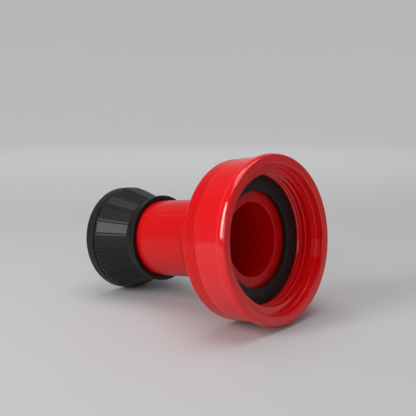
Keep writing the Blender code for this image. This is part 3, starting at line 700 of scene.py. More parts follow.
class NozzleInlet(bpy.types.PropertyGroup):
    """Sizes of the inlet's mouth, thread and gasket."""

    thread_pitch: length("Thread pitch", "Distance between two crests of the hose thread", 3.387 * MM)
    thread_height: length("Thread height", "Depth of the thread's groove", 1.9 * MM)
    thread_length: length("Thread length", "Length of the threaded wall", 10.3 * MM)
    lead_in_length: length("Lead-in length", "Length of the cone at the thread's mouth", 1.9 * MM)
    lead_in_rise: length("Lead-in rise", "How much wider the wall is where that cone starts", 0.45 * MM)
    mouth_depth: length("Mouth depth", "Depth of the plain counterbore in front of the thread", 5.3 * MM)
    mouth_margin: length("Mouth margin", "The counterbore's radius beyond the thread's", 3.45 * MM)
    rim_rounding: length("Rim rounding", "Radius of the rim's outer corner", 1.7 * MM)
    lip_length: length("Lip length", "Length of the raised lip at the rim", 4.8 * MM)
    lip_height: length("Lip height", "How far the lip stands out of the skirt", 1.3 * MM)
    bead_radius: length("Bead radius", "Radius of the fine bead on the gasket's face", 32.8 * MM)
    bead_height: length("Bead height", "Height of that bead", 0.08 * MM)


class NozzleBody(bpy.types.PropertyGroup):
    """Sizes of the flange, hub and barrel."""

    flange_length: length("Flange length", "Length of the flange behind the coupling", 9.4 * MM)
    flange_rounding: length("Flange rounding", "Radius of the flange's back corner", 2.6 * MM)
    flange_cone: length("Flange cone", "How far the flange's back rises towards the hub", 2.6 * MM)
    hub_rounding: length("Hub rounding", "Radius between the flange's back and the hub", 3.0 * MM)
    hub_length: length("Hub length", "Length of the thicker part of the neck", 23.0 * MM)
    hub_step: length("Hub step", "How far the hub stands out of the neck", 0.3 * MM)
    groove_width: length("Groove width", "Width of the line at the hub's end", 0.8 * MM)
    groove_depth: length("Groove depth", "Depth of that line", 0.4 * MM)


class NozzleTip(bpy.types.PropertyGroup):
    """Sizes of the turning tip, its bumper and its teeth."""

    collar_wall: length("Collar wall", "Thickness of the collar at the tip's back", 3.0 * MM)
    collar_length: length("Collar length", "Length of that collar", 1.9 * MM)
    collar_slope: length("Collar slope", "Length of the slope from the collar to the waist", 2.2 * MM)
    waist_wall: length("Waist wall", "Thickness of the tip at its waist", 1.2 * MM)
    waist_length: length("Waist length", "Length of the waist", 3.3 * MM)
    waist_taper: length("Waist taper", "How much thicker the waist is beside the collar", 0.5 * MM)
    shoulder_length: length("Shoulder length", "Length of the cone's straight wide end", 1.8 * MM)
    front_wall: length("Front wall", "Thickness of the wall round the outlet", 3.0 * MM)
    mouth_flare: length("Mouth flare", "How much wider the mouth is at its rim", 3.0 * MM)
    panel_count: IntProperty(
        name="Panels", description="Flat panels round the cone", default=20, min=6, max=40
    )
    panel_fade: length("Panel fade", "Length over which the panels start", 0.9 * MM)
    rib_turn: angle("Rib turn", "From straight up to the first rib", 11.7)
    rib_angle: angle("Rib angle", "Width of the rib between two panels", 4.0)
    groove_width: length("Rib groove width", "Width of the fine grooves beside each rib", 0.6 * MM)
    groove_depth: length("Rib groove depth", "Depth of the fine grooves", 0.6 * MM)
    bumper_lip: length("Bumper lip", "How far the bumper folds in over the spigot", 1.6 * MM)
    lock_rib_width: length("Lock rib width", "Width of the rib that keys the bumper", 1.6 * MM)
    lock_rib_depth: length("Lock rib depth", "Depth of that rib", 0.8 * MM)
    rim_groove_width: length("Rim groove width", "Width of the groove behind the bumper's rim", 0.5 * MM)
    rim_groove_depth: length("Rim groove depth", "Depth of that groove", 1.4 * MM)
    tooth_count: IntProperty(
        name="Teeth", description="Teeth that break up the spray", default=24, min=8, max=60
    )


class NozzleFinishes(bpy.types.PropertyGroup):
    """Colours of the nozzle's materials."""

    red_plastic: colour("Red plastic", "Coupling", (0.80, 0.0025, 0.005))
    # Painted shade: the coupling's red made darker for the whole body, standing in for the shade that falls
    # on the neck's underside
    body_red_with_painted_shade: colour("Body plastic", "Body and its barrel", (0.66, 0.002, 0.004))
    black_plastic: colour("Black plastic", "Ribbed tip", (0.009, 0.009, 0.009))
    bumper_rubber: colour("Bumper rubber", "Bumper", (0.010, 0.010, 0.010))
    seal_rubber: colour("Seal rubber", "Gasket and seals", (0.0075, 0.0055, 0.005))
    black_acetal: colour("Black acetal", "Spider, baffle and teeth", (0.026, 0.026, 0.028))
    brass: colour("Brass", "Stem, nut and lock ring", (0.70, 0.46, 0.17))
    stainless_steel: colour("Stainless steel", "Screws and washers", (0.60, 0.59, 0.57))


class NozzleStudio(bpy.types.PropertyGroup):
    """The camera, the lamps and the floor."""

    azimuth: angle("Azimuth", "Direction of the camera round the nozzle", 41.8)
    elevation: angle("Elevation", "Height of the camera above the horizon", 10.2)
    distance: length("Distance", "From the camera to the middle of the rim, along its view", 0.4097)
    rim_right: length("Rim to the right", "How far right of the view's middle the rim sits", 0.0402)
    rim_down: length("Rim below", "How far below the view's middle the rim sits", 0.0177)
    lens: FloatProperty(
        name="Lens", description="Focal length in millimetres", default=64.04, min=10.0, max=300.0
    )
    floor: colour("Floor", "Pale floor and backdrop", (0.60, 0.60, 0.61))
    key_power: power("Key", "Power of the overhead lamp", 8.2)
    side_power: power("Side", "Power of the lamp at the left", 8.5)
    front_power: power("Front", "Power of the lamp in front", 3.2)
    backdrop_power: power("Backdrop", "Power of the lamp on the backdrop", 9.5)
    surround: FloatProperty(name="Surround", description="Strength of the even light all round", default=0.19)


# Pieces

CREST_SHARE = 0.16               # the thread's flat crest, as a share of half its pitch
ROOT_SHARE = 0.14                # and its flat root
FLANK_CURVE = 0.4                # 0 for a straight flank, 1 for an S-shaped one
RUN_OUT = 0.75                   # length over which the cut fades out, as a share of the pitch
RUN_OUT_LAND = 0.2               # share of that length with no cut at all
THREAD_ROWS = 24                 # rows of points for each turn of the thread
GROOVE_SLOPE = 0.28              # width of a rib groove's side, as a share of the groove
CONE_ROW_SPACING = 0.4 * MM      # between the rows of points on the ribbed cone


def eased(share):
    """A share from 0 to 1 with a gentle start and end."""
    return share * share * (3.0 - 2.0 * share)


def thread_radius(station, angles, sizes, minor, start, end):
    """Radius of the threaded wall: a rounded V cut that winds with the thread and runs out before the end.

    The cut starts full depth behind the first crest, so the land in front of it widens round the mouth.
    """
    phase = (station - start) / sizes.thread_pitch - angles / FULL_TURN
    depth = np.abs(((phase + 0.5) % 1.0) - 0.5) * 2.0
    cut = np.clip((depth - CREST_SHARE) / (1.0 - CREST_SHARE - ROOT_SHARE), 0.0, 1.0)
    cut = np.where(phase < 0.0, 0.0, (1.0 - FLANK_CURVE) * cut + FLANK_CURVE * eased(cut))
    fade = np.clip((end - station) / (RUN_OUT * sizes.thread_pitch) - RUN_OUT_LAND, 0.0, 1.0)
    lead_in = np.clip(1.0 - (station - start) / sizes.lead_in_length, 0.0, 1.0)
    return minor + sizes.thread_height * cut * eased(fade) + sizes.lead_in_rise * lead_in


def threaded_wall(sizes, minor, start, end, segments):
    """Points and faces of the threaded wall, in rows that follow the thread and stop flat at both ends."""
    angles = evenly(segments)
    turns = (end - start) / sizes.thread_pitch + 2.0
    row_count = math.ceil(turns * THREAD_ROWS)
    rows = []
    for row in range(row_count + 1):
        winding = row / THREAD_ROWS + angles / FULL_TURN - 1.0
        station = np.clip(start + sizes.thread_pitch * winding, start, end)
        rows.append(ring_of(station, thread_radius(station, angles, sizes, minor, start, end), angles))
    faces = []
    for row in range(row_count):
        for side in range(segments):
            beside = (side + 1) % segments
            lift = THREAD_ROWS if beside == 0 else 0
            if row + 1 + lift > row_count:
                continue
            faces.append((
                row * segments + side,
                (row + lift) * segments + beside,
                (row + 1 + lift) * segments + beside,
                (row + 1) * segments + side,
            ))
    return np.concatenate(rows), faces


def build_coupling(sizes):
    """The threaded inlet ring: rounded lip, plain mouth, hose thread and the gasket's undercut."""
    minor = coupling.inner
    thread_start = sizes.mouth_depth
    thread_end = sizes.mouth_depth + sizes.thread_length
    mouth = minor + sizes.thread_height + sizes.mouth_margin
    undercut = gasket.outer + FACE_GAP
    skirt = coupling.outer - sizes.lip_height
    angles = evenly(ROUND_SEGMENTS)
    edge = thread_radius(np.full_like(angles, thread_start), angles, sizes, minor, thread_start, thread_end)
    outline = [
        (thread_start, minor + sizes.thread_height + 0.7 * MM),
        (thread_start, mouth, 0.5 * MM),
        (0.7 * MM, mouth, 0.5 * MM),
        (0.0, mouth + 0.7 * MM, 0.5 * MM),
        (0.0, coupling.outer - MM, 0.6 * MM),
        (0.8 * MM, coupling.outer - 0.42 * MM, sizes.rim_rounding / 2),
        (2.3 * MM, coupling.outer, sizes.rim_rounding),
        (sizes.lip_length, coupling.outer, 1.3 * MM),
        (sizes.lip_length + 0.9 * MM, skirt, 1.3 * MM),
        (coupling.end, skirt, 0.6 * MM),
        (coupling.end, undercut),
        (thread_end, undercut),
        (thread_end, minor + 0.2 * MM),
    ]
    rows = [ring_of(thread_start, edge, angles), *turned_rows(outline, angles, closed=False)]
    rows.append(ring_of(thread_end, minor, angles))
    points, faces = swept_faces(rows, closed=False)
    wall_points, wall_faces = threaded_wall(sizes, minor, thread_start, thread_end, ROUND_SEGMENTS)
    shift = len(points)
    faces += [tuple(corner + shift for corner in face) for face in wall_faces]
    points = np.concatenate([points, wall_points])
    piece = make_piece("threaded_coupling", points, faces, look_named("red_plastic"), weld=True)
    finish_piece(piece, "nozzle", "red_plastic", "inlet_coupling")


def build_gasket(sizes):
    """The flat rubber ring behind the thread, with a fine bead round its face."""
    bead = sizes.bead_radius
    shoulder = coupling.inner - 0.3 * MM
    turned_outline = [
        (gasket.start, gasket.inner, 0.5 * MM),
        (gasket.start, bead - 0.7 * MM, 0.3 * MM),
        (gasket.start + sizes.bead_height, bead - 0.35 * MM, 0.2 * MM),
        (gasket.start, bead, 0.2 * MM),
        (gasket.start + sizes.bead_height, bead + 0.35 * MM, 0.2 * MM),
        (gasket.start, bead + 0.7 * MM, 0.3 * MM),
        (gasket.start, shoulder, 0.3 * MM),
        (gasket.start + 0.9 * MM, gasket.outer, 0.2 * MM),
        (gasket.end, gasket.outer, 0.2 * MM),
        (gasket.end, gasket.inner, 0.5 * MM),
    ]
    piece = turned_piece("ring_gasket", turned_outline, look_named("seal_rubber"))
    finish_piece(piece, "nozzle", "seal_rubber", "inlet_gasket")


def helical_groove(name, half_width, floor, outside, start, advance, turn, offset):
    """A bar that winds about the axis, to cut one cam groove."""
    steps = 48
    overrun = half_width / floor
    section = [(-half_width, floor), (half_width, floor), (half_width, outside), (-half_width, outside)]
    rows = []
    for step in range(steps + 1):
        angle = -overrun + (turn + 2 * overrun) * step / steps
        place = start + advance * angle / turn
        rows.append([
            Vector((radius * math.cos(angle + offset), radius * math.sin(angle + offset), place + along))
            for along, radius in section
        ])
    shape = bmesh.new()
    made = [[shape.verts.new(point) for point in row] for row in rows]
    for row, following in zip(made, made[1:]):
        for side in range(4):
            beside = (side + 1) % 4
            shape.faces.new((row[side], row[beside], following[beside], following[side]))
    shape.faces.new(made[0])
    shape.faces.new(made[-1])
    return cutter_from(name, shape)


def build_body(sizes):
    """Flange, hub and barrel in one moulding, with three cam grooves under the tip."""
    flange_front = first_station_beyond("nozzle_body", gasket.outer + MM)
    flange_back = flange_front + sizes.flange_length
    hub_end = flange_back + sizes.hub_length
    inlet_bore = smallest_radius_between("nozzle_body", body.start - 0.01 * MM, body.start + 0.6 * MM)
    lock_ring = spans["spider_lock_ring"]
    spider = spans["spider"]
    seal = spans["barrel_o_ring"]
    seat = spider.outer + FACE_GAP
    outline = [
        (body.start, inlet_bore, 0.6 * MM),
        (body.start, gasket.outer, 0.2 * MM),
        (flange_front, gasket.outer),
        (flange_front, body.outer, 0.35 * MM),
        (flange_back, body.outer, sizes.flange_rounding),
        (flange_back + sizes.flange_cone, neck + sizes.hub_step, sizes.hub_rounding),
        (hub_end, neck + sizes.hub_step, 0.22 * MM),
        (hub_end, neck - sizes.groove_depth, 0.1 * MM),
        (hub_end + sizes.groove_width, neck - sizes.groove_depth, 0.1 * MM),
        (hub_end + sizes.groove_width, neck, 0.2 * MM),
        (seal.start - FACE_GAP, neck, 0.1 * MM),
        (seal.start - FACE_GAP, seal.inner - FACE_GAP),
        (seal.end + FACE_GAP, seal.inner - FACE_GAP),
        (seal.end + FACE_GAP, neck, 0.1 * MM),
        (body.end, neck, 0.5 * MM),
        (body.end, seat, 0.2 * MM),
        (spider.start - FACE_GAP, seat),
        (spider.start - FACE_GAP, body.inner, 0.2 * MM),
        (body.start + 40.0 * MM, body.inner, 8.0 * MM),
    ]
    # The body's darker red is painted shade
    piece = turned_piece("flanged_body", outline, look_named("satin_red_with_painted_shade"))
    pin = spans["cam_pin_1"]
    middle = (pin.start + pin.end) / 2
    half_width = (pin.end - pin.start) / 2 + PIN_GAP
    travel = joint_named("tip_slide")["range_m"][1]
    sweep = math.radians(turn_joint["range_deg"][1])
    for number in range(PIN_COUNT):
        combine(piece, "DIFFERENCE", helical_groove(
            "cam_cut", half_width, pin.inner - FACE_GAP, neck + MM, middle, -travel, sweep,
            FULL_TURN * number / PIN_COUNT,
        ))
    finish_piece(piece, "nozzle", "red_plastic", "nozzle_body")


def pin_frame(number, radius, station):
    """A matrix on a cam pin's axis, pointing outwards."""
    outwards = Matrix.Rotation(math.pi / 2, 4, "Y")
    return about_axis(FULL_TURN * number / PIN_COUNT) @ Matrix.Translation((radius, 0.0, station)) @ outwards


def panel_profile(sizes):
    """Angles across one panel and rib, with each one's share of the groove's depth."""
    pitch = FULL_TURN / sizes.panel_count
    surface = (tip_bore + tip.outer) / 2
    groove = sizes.groove_width / surface
    middle = sizes.rib_angle / 2
    near, far = middle - groove / 2, middle + groove / 2
    slope = groove * GROOVE_SLOPE
    half = pitch / 2
    marks = [
        (0.0, 0.0), (near - 2.6 * slope, 0.0), (near - slope, 0.04), (near - 0.2 * slope, 0.25),
        (near + 0.7 * slope, 0.92), (middle - 0.15 * groove, 1.0), (middle + 0.15 * groove, 1.0),
        (far - 0.7 * slope, 0.92), (far + 0.2 * slope, 0.25), (far + slope, 0.05), (far + 2.6 * slope, 0.0),
    ]
    wide = far + 2.6 * slope
    marks += [(wide + (half - wide) * share, 0.0) for share in (0.15, 0.4, 0.7)]
    side = marks[1:] + [(half, 0.0)]
    whole = marks[:1] + side + [(pitch - angle, depth) for angle, depth in reversed(side[:-1])]
    return pitch, far, whole


def ribbed_rows(points, sizes, first, last, line):
    """Rows round the outline's points, with flat panels and rib grooves between two stations of the cone."""
    pitch, panel_edge, across = panel_profile(sizes)
    offsets = np.array([angle for angle, depth in across])
    panels = [offsets + number * pitch for number in range(sizes.panel_count)]
    angles = np.concatenate(panels) + sizes.rib_turn
    groove = np.tile([depth for angle, depth in across], sizes.panel_count)
    from_middle = np.abs(offsets - pitch / 2)
    half_panel = pitch / 2 - panel_edge
    chord = np.cos(half_panel) / np.cos(np.minimum(from_middle, half_panel))
    flat = np.tile(np.where(from_middle < half_panel, chord, 1.0), sizes.panel_count)
    rows = []
    for station, radius in points:
        on_cone = first < station < last and radius > tip_bore + 0.5 * MM
        share = min(1.0, (station - first) / sizes.panel_fade) if on_cone else 0.0
        share = eased(share)
        surface = radius * (1.0 + (flat - 1.0) * share)
        floor = surface - share * (surface - line(station) + sizes.groove_depth * groove)
        rows.append(ring_of(station, np.where(groove > 0.0, np.minimum(surface, floor), surface), angles))
    return rows


def with_rows_between(points, first, last, spacing):
    """The outline's points, with more of them on its outer side between two stations."""
    result = []
    for here, following in zip(points, points[1:] + points[:1]):
        result.append(here)
        outer = here.y > tip_bore + MM / 2 and following.y > tip_bore + MM / 2
        if outer and following.x > here.x and here.x < last and following.x > first:
            count = math.ceil((following - here).length / spacing)
            result += [here.lerp(following, step / count) for step in range(1, count)]
    return result


def build_tip(sizes):
    """The black tip: collar, waist, ribbed cone, outlet and the spigot that carries the bumper."""
    wiper = spans["tip_wiper"]
    pin = spans["cam_pin_1"]
    collar = tip_bore + sizes.collar_wall
    waist = tip_bore + sizes.waist_wall
    collar_end = tip.start + sizes.collar_length
    waist_back = collar_end + sizes.collar_slope
    waist_front = waist_back + sizes.waist_length
    shoulder_end = bumper.start - FACE_GAP
    shoulder_start = shoulder_end - sizes.shoulder_length
    spigot = bumper.inner + sizes.bumper_lip
    key = spigot - sizes.lock_rib_depth
    key_middle = (bumper.start + tip.end) / 2
    key_half = sizes.lock_rib_width / 2 + FACE_GAP
    mouth_floor = bumper.inner - sizes.mouth_flare
    wall_back = tip_front - sizes.front_wall
    outline = [
        (tip.start, tip_bore + 0.2 * MM, 0.12 * MM),
        (tip.start, collar, 0.5 * MM),
        (collar_end, collar, 0.9 * MM),
        (waist_back, waist + sizes.waist_taper, 2.5 * MM),
        (waist_front, waist, 2.0 * MM),
        (shoulder_start, tip.outer, 1.6 * MM),
        (shoulder_end, tip.outer, 0.35 * MM),
        (shoulder_end, spigot),
        (key_middle - key_half, spigot),
        (key_middle - key_half, key),
        (key_middle + key_half, key),
        (key_middle + key_half, spigot),
        (tip.end, spigot, 0.3 * MM),
        (tip.end, bumper.inner, 0.2 * MM),
        (tip_front, mouth_floor, 0.8 * MM),
        (tip_front, tip.inner, 0.6 * MM),
        (wall_back, tip.inner + 1.4 * MM, 0.7 * MM),
        (wall_back, tip_bore, 0.3 * MM),
        (wiper.end + FACE_GAP, tip_bore, 0.1 * MM),
        (wiper.end + FACE_GAP, wiper.outer + FACE_GAP),
        (wiper.start - FACE_GAP, wiper.outer + FACE_GAP),
        (wiper.start - FACE_GAP, tip_bore, 0.1 * MM),
    ]
    rise = (tip.outer - waist) / (shoulder_start - waist_front)
    first = waist_front - 0.6 * MM
    points = with_rows_between(rounded(outline, closed=True), first, shoulder_end, CONE_ROW_SPACING)
    rows = ribbed_rows(points, sizes, first, shoulder_end, lambda place: waist + rise * (place - waist_front))
    piece = make_piece("ribbed_tip", *swept_faces(rows, closed=True), look_named("black_plastic"))
    hole_end = pin.outer + FACE_GAP
    start = tip_bore - MM
    depth, station = (start + hole_end) / 2, (pin.start + pin.end) / 2
    matrices = [pin_frame(number, depth, station) for number in range(PIN_COUNT)]
    radius = (pin.end - pin.start) / 2 + PIN_GAP
    combine(piece, "DIFFERENCE", rod_cutter("pin_holes", matrices, radius, hole_end - start, 40))
    finish_piece(piece, "tip", "black_plastic", "fog_tip")


def build_bumper(sizes):
    """The rubber ring round the tip's mouth, folded in over the end of the spigot."""
    bore = bumper.inner + sizes.bumper_lip + FACE_GAP
    band = bumper.start + sizes.rim_groove_width
    floor = bumper.outer - sizes.rim_groove_depth
    fold = tip.end + FACE_GAP
    middle = (bumper.start + tip.end) / 2
    half = sizes.lock_rib_width / 2
    piece = turned_piece("rim_bumper", [
        (bumper.start, bore),
        (bumper.start, floor, 0.1 * MM),
        (band, floor, 0.1 * MM),
        (band, bumper.outer, 0.7 * MM),
        (bumper.end, bumper.outer, 2.6 * MM),
        (bumper.end, bumper.outer - 2.6 * MM, 0.6 * MM),
        (fold + 1.2 * MM, bumper.inner, 0.5 * MM),
        (fold, bumper.inner, 0.2 * MM),
        (fold, bore),
        (middle + half, bore),
        (middle + half, bore - sizes.lock_rib_depth, 0.15 * MM),
        (middle - half, bore - sizes.lock_rib_depth, 0.15 * MM),
        (middle - half, bore),
    ], look_named("bumper_rubber"))
    finish_piece(piece, "tip", "bumper_rubber", "bumper")


def build_teeth(sizes):
    """The ring of teeth round the outlet."""
    span = spans["fog_teeth_ring"]
    base = span.start + 1.2 * MM
    piece = turned_piece("fog_teeth", [
        (span.start, span.inner, 0.2 * MM), (span.start, span.outer, 0.2 * MM),
        (span.end, span.outer, 0.3 * MM), (span.end, span.inner, 0.3 * MM),
    ], look_named("black_acetal"), DISC_SEGMENTS)
    middle_radius = (span.inner + span.outer) / 2
    gap_width = FULL_TURN * middle_radius / sizes.tooth_count / 2
    size = (span.outer - span.inner + 2 * MM, gap_width, span.end - base + MM)
    middle = Matrix.Translation((middle_radius, 0.0, base + size[2] / 2))
    turns = [FULL_TURN * number / sizes.tooth_count for number in range(sizes.tooth_count)]
    matrices = [about_axis(turn) @ middle for turn in turns]
    combine(piece, "DIFFERENCE", block_cutter("tooth_gaps", matrices, size))
    bevel(piece, 0.12 * MM, 1)
    finish_piece(piece, "tip", "black_acetal", "fog_teeth_ring")


def build_spider():
    """The hub on three vanes that holds the stem, and the ring that locks it."""
    span = spans["spider"]
    ring_inner = span.outer - 2.8 * MM
    hub = 7.0 * MM
    piece = turned_piece("vane_spider", [
        (span.start, ring_inner, 0.6 * MM), (span.start, span.outer, 0.2 * MM),
        (span.end, span.outer, 0.2 * MM), (span.end, ring_inner, 0.6 * MM),
    ], look_named("black_acetal"), RING_SEGMENTS)
    middle = Matrix.Translation(((hub + ring_inner) / 2, 0.0, (span.start + span.end) / 2))
    size = (ring_inner - hub + 2.5 * MM, 3.0 * MM, span.end - span.start - 1.2 * MM)
    turns = [FULL_TURN * (number + 0.5) / VANE_COUNT for number in range(VANE_COUNT)]
    vanes = block_cutter("vanes", [about_axis(turn) @ middle for turn in turns], size)
    bevel(vanes, 0.6 * MM, 3)
    combine(piece, "UNION", vanes)
    boss = turned_piece("boss", [
        (span.start, span.inner), (span.start, hub, 0.6 * MM),
        (span.end, hub, 0.6 * MM), (span.end, span.inner),
    ], None, SMALL_SEGMENTS)
    combine(piece, "UNION", boss)
    finish_piece(piece, "nozzle", "black_acetal", "spider")

    lock = spans["spider_lock_ring"]
    ring = turned_piece("threaded_lock_ring", [
        (lock.start, lock.inner, 0.3 * MM), (lock.start, lock.outer, 0.25 * MM),
        (lock.end, lock.outer, 0.25 * MM), (lock.end, lock.inner, 0.3 * MM),
    ], look_named("brass"), RING_SEGMENTS)
    place = Matrix.Translation(((lock.inner + lock.outer) / 2, 0.0, lock.end))
    slots = [about_axis(FULL_TURN * number / SLOT_COUNT) @ place for number in range(SLOT_COUNT)]
    combine(ring, "DIFFERENCE", block_cutter("slots", slots, (8 * MM, 2.4 * MM, 2.0 * MM)))
    finish_piece(ring, "nozzle", "brass", "spider_lock_ring")


def build_stem():
    """The brass stem with its flare, and the nut and washers behind the spider."""
    span = spans["stem"]
    spider = spans["spider"]
    radius = spider.inner - FACE_GAP
    hole = spans["baffle_lock_washer"].inner
    stem_object = turned_piece("baffle_stem", [
        (span.start, 0.0),
        (span.start, radius, 0.5 * MM),
        (spider.end + FACE_GAP, radius),
        (spider.end + FACE_GAP, radius + 1.5 * MM, 0.35 * MM),
        (tip_front - 3.0 * MM, radius + 1.5 * MM, 1.5 * MM),
        (tip_front - 1.2 * MM, span.outer, 0.25 * MM),
        (tip_front, span.outer, 0.25 * MM),
        (tip_front, radius),
        (span.end, radius, 0.2 * MM),
        (span.end, hole, 0.15 * MM),
        (span.end - 8.0 * MM, hole),
        (span.end - 9.0 * MM, 0.0),
    ], look_named("brass"), SMALL_SEGMENTS, closed=False)
    finish_piece(stem_object, "nozzle", "brass", "stem")

    nut = spans["stem_nut"]
    nut_object = turned_piece("stem_hex_nut", [
        (nut.start, nut.inner, 0.3 * MM), (nut.start, nut.outer, 0.8 * MM),
        (nut.end, nut.outer, 0.8 * MM), (nut.end, nut.inner, 0.3 * MM),
    ], look_named("brass"), SMALL_SEGMENTS)
    middle = Matrix.Translation((0.0, 0.0, (nut.start + nut.end) / 2))
    hexagon = rod_cutter("hexagon", [middle], nut.outer, nut.end - nut.start + 2 * MM, HEX_SIDES)
    combine(nut_object, "INTERSECT", hexagon)
    finish_piece(nut_object, "nozzle", "brass", "stem_nut")
    flat_ring("plain_washer", "stem_washer", 0.25 * MM)
    for name in ("stem_lock_washer", "baffle_lock_washer"):
        split_ring(name)


def flat_ring(name, node, rounding):
    """A plain round washer with softened edges."""
    span = spans[node]
    piece = turned_piece(name, [
        (span.start, span.inner, rounding), (span.start, span.outer, rounding),
        (span.end, span.outer, rounding), (span.end, span.inner, rounding),
    ], look_named("stainless_steel"), SMALL_SEGMENTS)
    finish_piece(piece, "nozzle", "stainless_steel", node)


def split_ring(node):
    """A spring washer, cut through on one side."""
    span = spans[node]
    piece = turned_piece(f"{node}_coil", [
        (span.start, span.inner, 0.1 * MM), (span.start, span.outer, 0.1 * MM),
        (span.end, span.outer, 0.1 * MM), (span.end, span.inner, 0.1 * MM),
    ], look_named("stainless_steel"), SMALL_SEGMENTS)
    place = Matrix.Translation(((span.inner + span.outer) / 2, 0.0, (span.start + span.end) / 2))
    slanted = place @ Matrix.Rotation(math.radians(25), 4, "X")
    combine(piece, "DIFFERENCE", block_cutter("split", [slanted], (4 * MM, 0.7 * MM, 4 * MM)))
    finish_piece(piece, "nozzle", "stainless_steel", node)


def build_baffle():
    """The disc that the water strikes, its seal and its screw."""
    seal = spans["baffle_seal"]
    seal_piece = turned_piece("outlet_seal", [
        (seal.start, seal.inner, 0.1 * MM), (seal.start, seal.outer, 0.4 * MM),
        (seal.end, seal.outer, 0.4 * MM), (seal.end, seal.inner, 0.1 * MM),
    ], look_named("seal_rubber"), RING_SEGMENTS)
    finish_piece(seal_piece, "nozzle", "seal_rubber", "baffle_seal")
    disc = spans["baffle"]
    head = spans["baffle_screw"]
    disc_piece = turned_piece("water_baffle", [
        (disc.start, disc.inner, 0.1 * MM),
        (disc.start, disc.outer, 0.3 * MM),
        (disc.start + 1.2 * MM, disc.outer, 0.35 * MM),
        (disc.end - 0.6 * MM, disc.outer - 4.2 * MM, 1.5 * MM),
        (disc.end, head.outer + 1.2 * MM, 0.8 * MM),
        (disc.end, disc.inner, 0.1 * MM),
    ], look_named("black_acetal"), DISC_SEGMENTS)
    finish_piece(disc_piece, "nozzle", "black_acetal", "baffle")
    head_back = head.end - 2.2 * MM
    shank = disc.inner - 0.3 * MM
    screw_piece = turned_piece("baffle_cap_screw", [
        (head.start, 0.0),
        (head.start, shank, 0.4 * MM),
        (head_back, shank),
        (head_back, head.outer, 0.2 * MM),
        (head.end, head.outer - 0.4 * MM, 0.9 * MM),
        (head.end, 0.0),
    ], look_named("stainless_steel"), SMALL_SEGMENTS, closed=False)
    mouth = Matrix.Translation((0.0, 0.0, head.end))
    socket = rod_cutter("socket", [mouth], 1.5 * MM / HEX_COSINE, 2.6 * MM, HEX_SIDES)
    combine(screw_piece, "DIFFERENCE", socket)
    finish_piece(screw_piece, "nozzle", "stainless_steel", "baffle_screw")


def dress_hidden_nodes():
    """The seals and cam pins inside keep their packed shape and get their materials."""
    finishes = {
        "barrel_o_ring": "seal_rubber", "tip_wiper": "seal_rubber",
        "cam_pin_1": "stainless_steel", "cam_pin_2": "stainless_steel", "cam_pin_3": "stainless_steel",
    }
    for node, finish in finishes.items():
        materials = frame["nodes"][node].data.materials
        materials.clear()
        materials.append(look_named(finish))


# Stage

def build_floor(studio):
    """A round pale floor that rises into a backdrop on every side."""
    angles = evenly(128)
    corners = [(0.0, 0.0), (0.0, 1.9, 0.9), (1.9, 2.3)]
    rows = []
    for height, radius in rounded(corners, closed=False):
        rows.append(np.array([[0.0, 0.0, 0.0]]) if radius < WELD else ring_of(height, radius, angles))
    points, faces = swept_faces(rows, closed=False)
    mesh = bpy.data.meshes.new("studio_floor")
    mesh.from_pydata([tuple(point) for point in points], [], faces)
    mesh.shade_smooth()
    floor = bpy.data.objects.new("studio_floor", mesh)
    bpy.context.scene.collection.objects.link(floor)
    look, tree, shader, vector = start_material("pale_paper")
    tone = noise_node(tree, vector, 3.0, 2.0)
    factor = range_node(tree, tone, 0.2, 0.8, 0.0, 0.04)
    shade = mix_colour(tree, factor, (*studio.floor, 1.0), (0.5, 0.5, 0.52, 1.0))
    tree.links.new(shade, shader.inputs["Base Color"])
    shader.inputs["Roughness"].default_value = 0.6
    shader.inputs["Specular IOR Level"].default_value = 0.25
    mesh.materials.append(look)


def add_lamp(name, power, size, place, target):
    """A soft rectangular lamp that looks at a point."""
    lamp = bpy.data.lights.new(name, "AREA")
    lamp.shape = "RECTANGLE"
    lamp.size, lamp.size_y = size
    lamp.energy = power
    thing = bpy.data.objects.new(name, lamp)
    thing.location = place
    thing.rotation_euler = (Vector(target) - Vector(place)).to_track_quat("-Z", "Y").to_euler()
    bpy.context.scene.collection.objects.link(thing)


def build_camera(studio):
    """The camera, placed from the middle of the rim by its direction and distance."""
    turn, rise = studio.azimuth, studio.elevation
    back = Vector((math.sin(turn) * math.cos(rise), -math.cos(turn) * math.cos(rise), math.sin(rise)))
    right = Vector((math.cos(turn), math.sin(turn), 0.0))
    above = back.cross(right)
    rim = nozzle_frame.translation
    data = bpy.data.cameras.new("studio_camera")
    data.lens = studio.lens
    data.sensor_width = 36.0
    data.clip_start, data.clip_end = 0.01, 20.0
    camera = bpy.data.objects.new("studio_camera", data)
    camera.location = rim + back * studio.distance - right * studio.rim_right + above * studio.rim_down
    camera.rotation_euler = Matrix((right, above, back)).transposed().to_euler()
    bpy.context.scene.collection.objects.link(camera)
    bpy.context.scene.camera = camera


def build_stage(studio):
    """Floor, lamps, even surround and camera."""
    build_floor(studio)
    build_camera(studio)
    turn = studio.azimuth
    right = Vector((math.cos(turn), math.sin(turn), 0.0))
    towards = Vector((math.sin(turn), -math.cos(turn), 0.0))
    above = Vector((0.0, 0.0, 1.0))
    aim = (0.0, 0.0, 0.04)
    add_lamp("overhead", studio.key_power, (1.1, 1.1), above * 1.3 - towards * 0.05, aim)
    add_lamp("side", studio.side_power, (0.3, 0.9), above * 0.66 - right * 0.9 + towards * 0.62, aim)
    add_lamp("front", studio.front_power, (1.0, 0.6), above * 0.6 - right * 0.25 + towards * 1.4, aim)
    far_wall = above * 0.4 - towards * 2.0
    add_lamp("backdrop", studio.backdrop_power, (2.2, 0.5), above * 0.9 - towards * 0.6, far_wall)
    world = bpy.data.worlds.new("surround")
    world.use_nodes = True
    background = world.node_tree.nodes["Background"]
    background.inputs["Color"].default_value = (1.0, 1.0, 1.0, 1.0)
    background.inputs["Strength"].default_value = studio.surround
    bpy.context.scene.world = world
    bpy.context.scene.view_settings.view_transform = "Standard"


# Operators, panel and registration

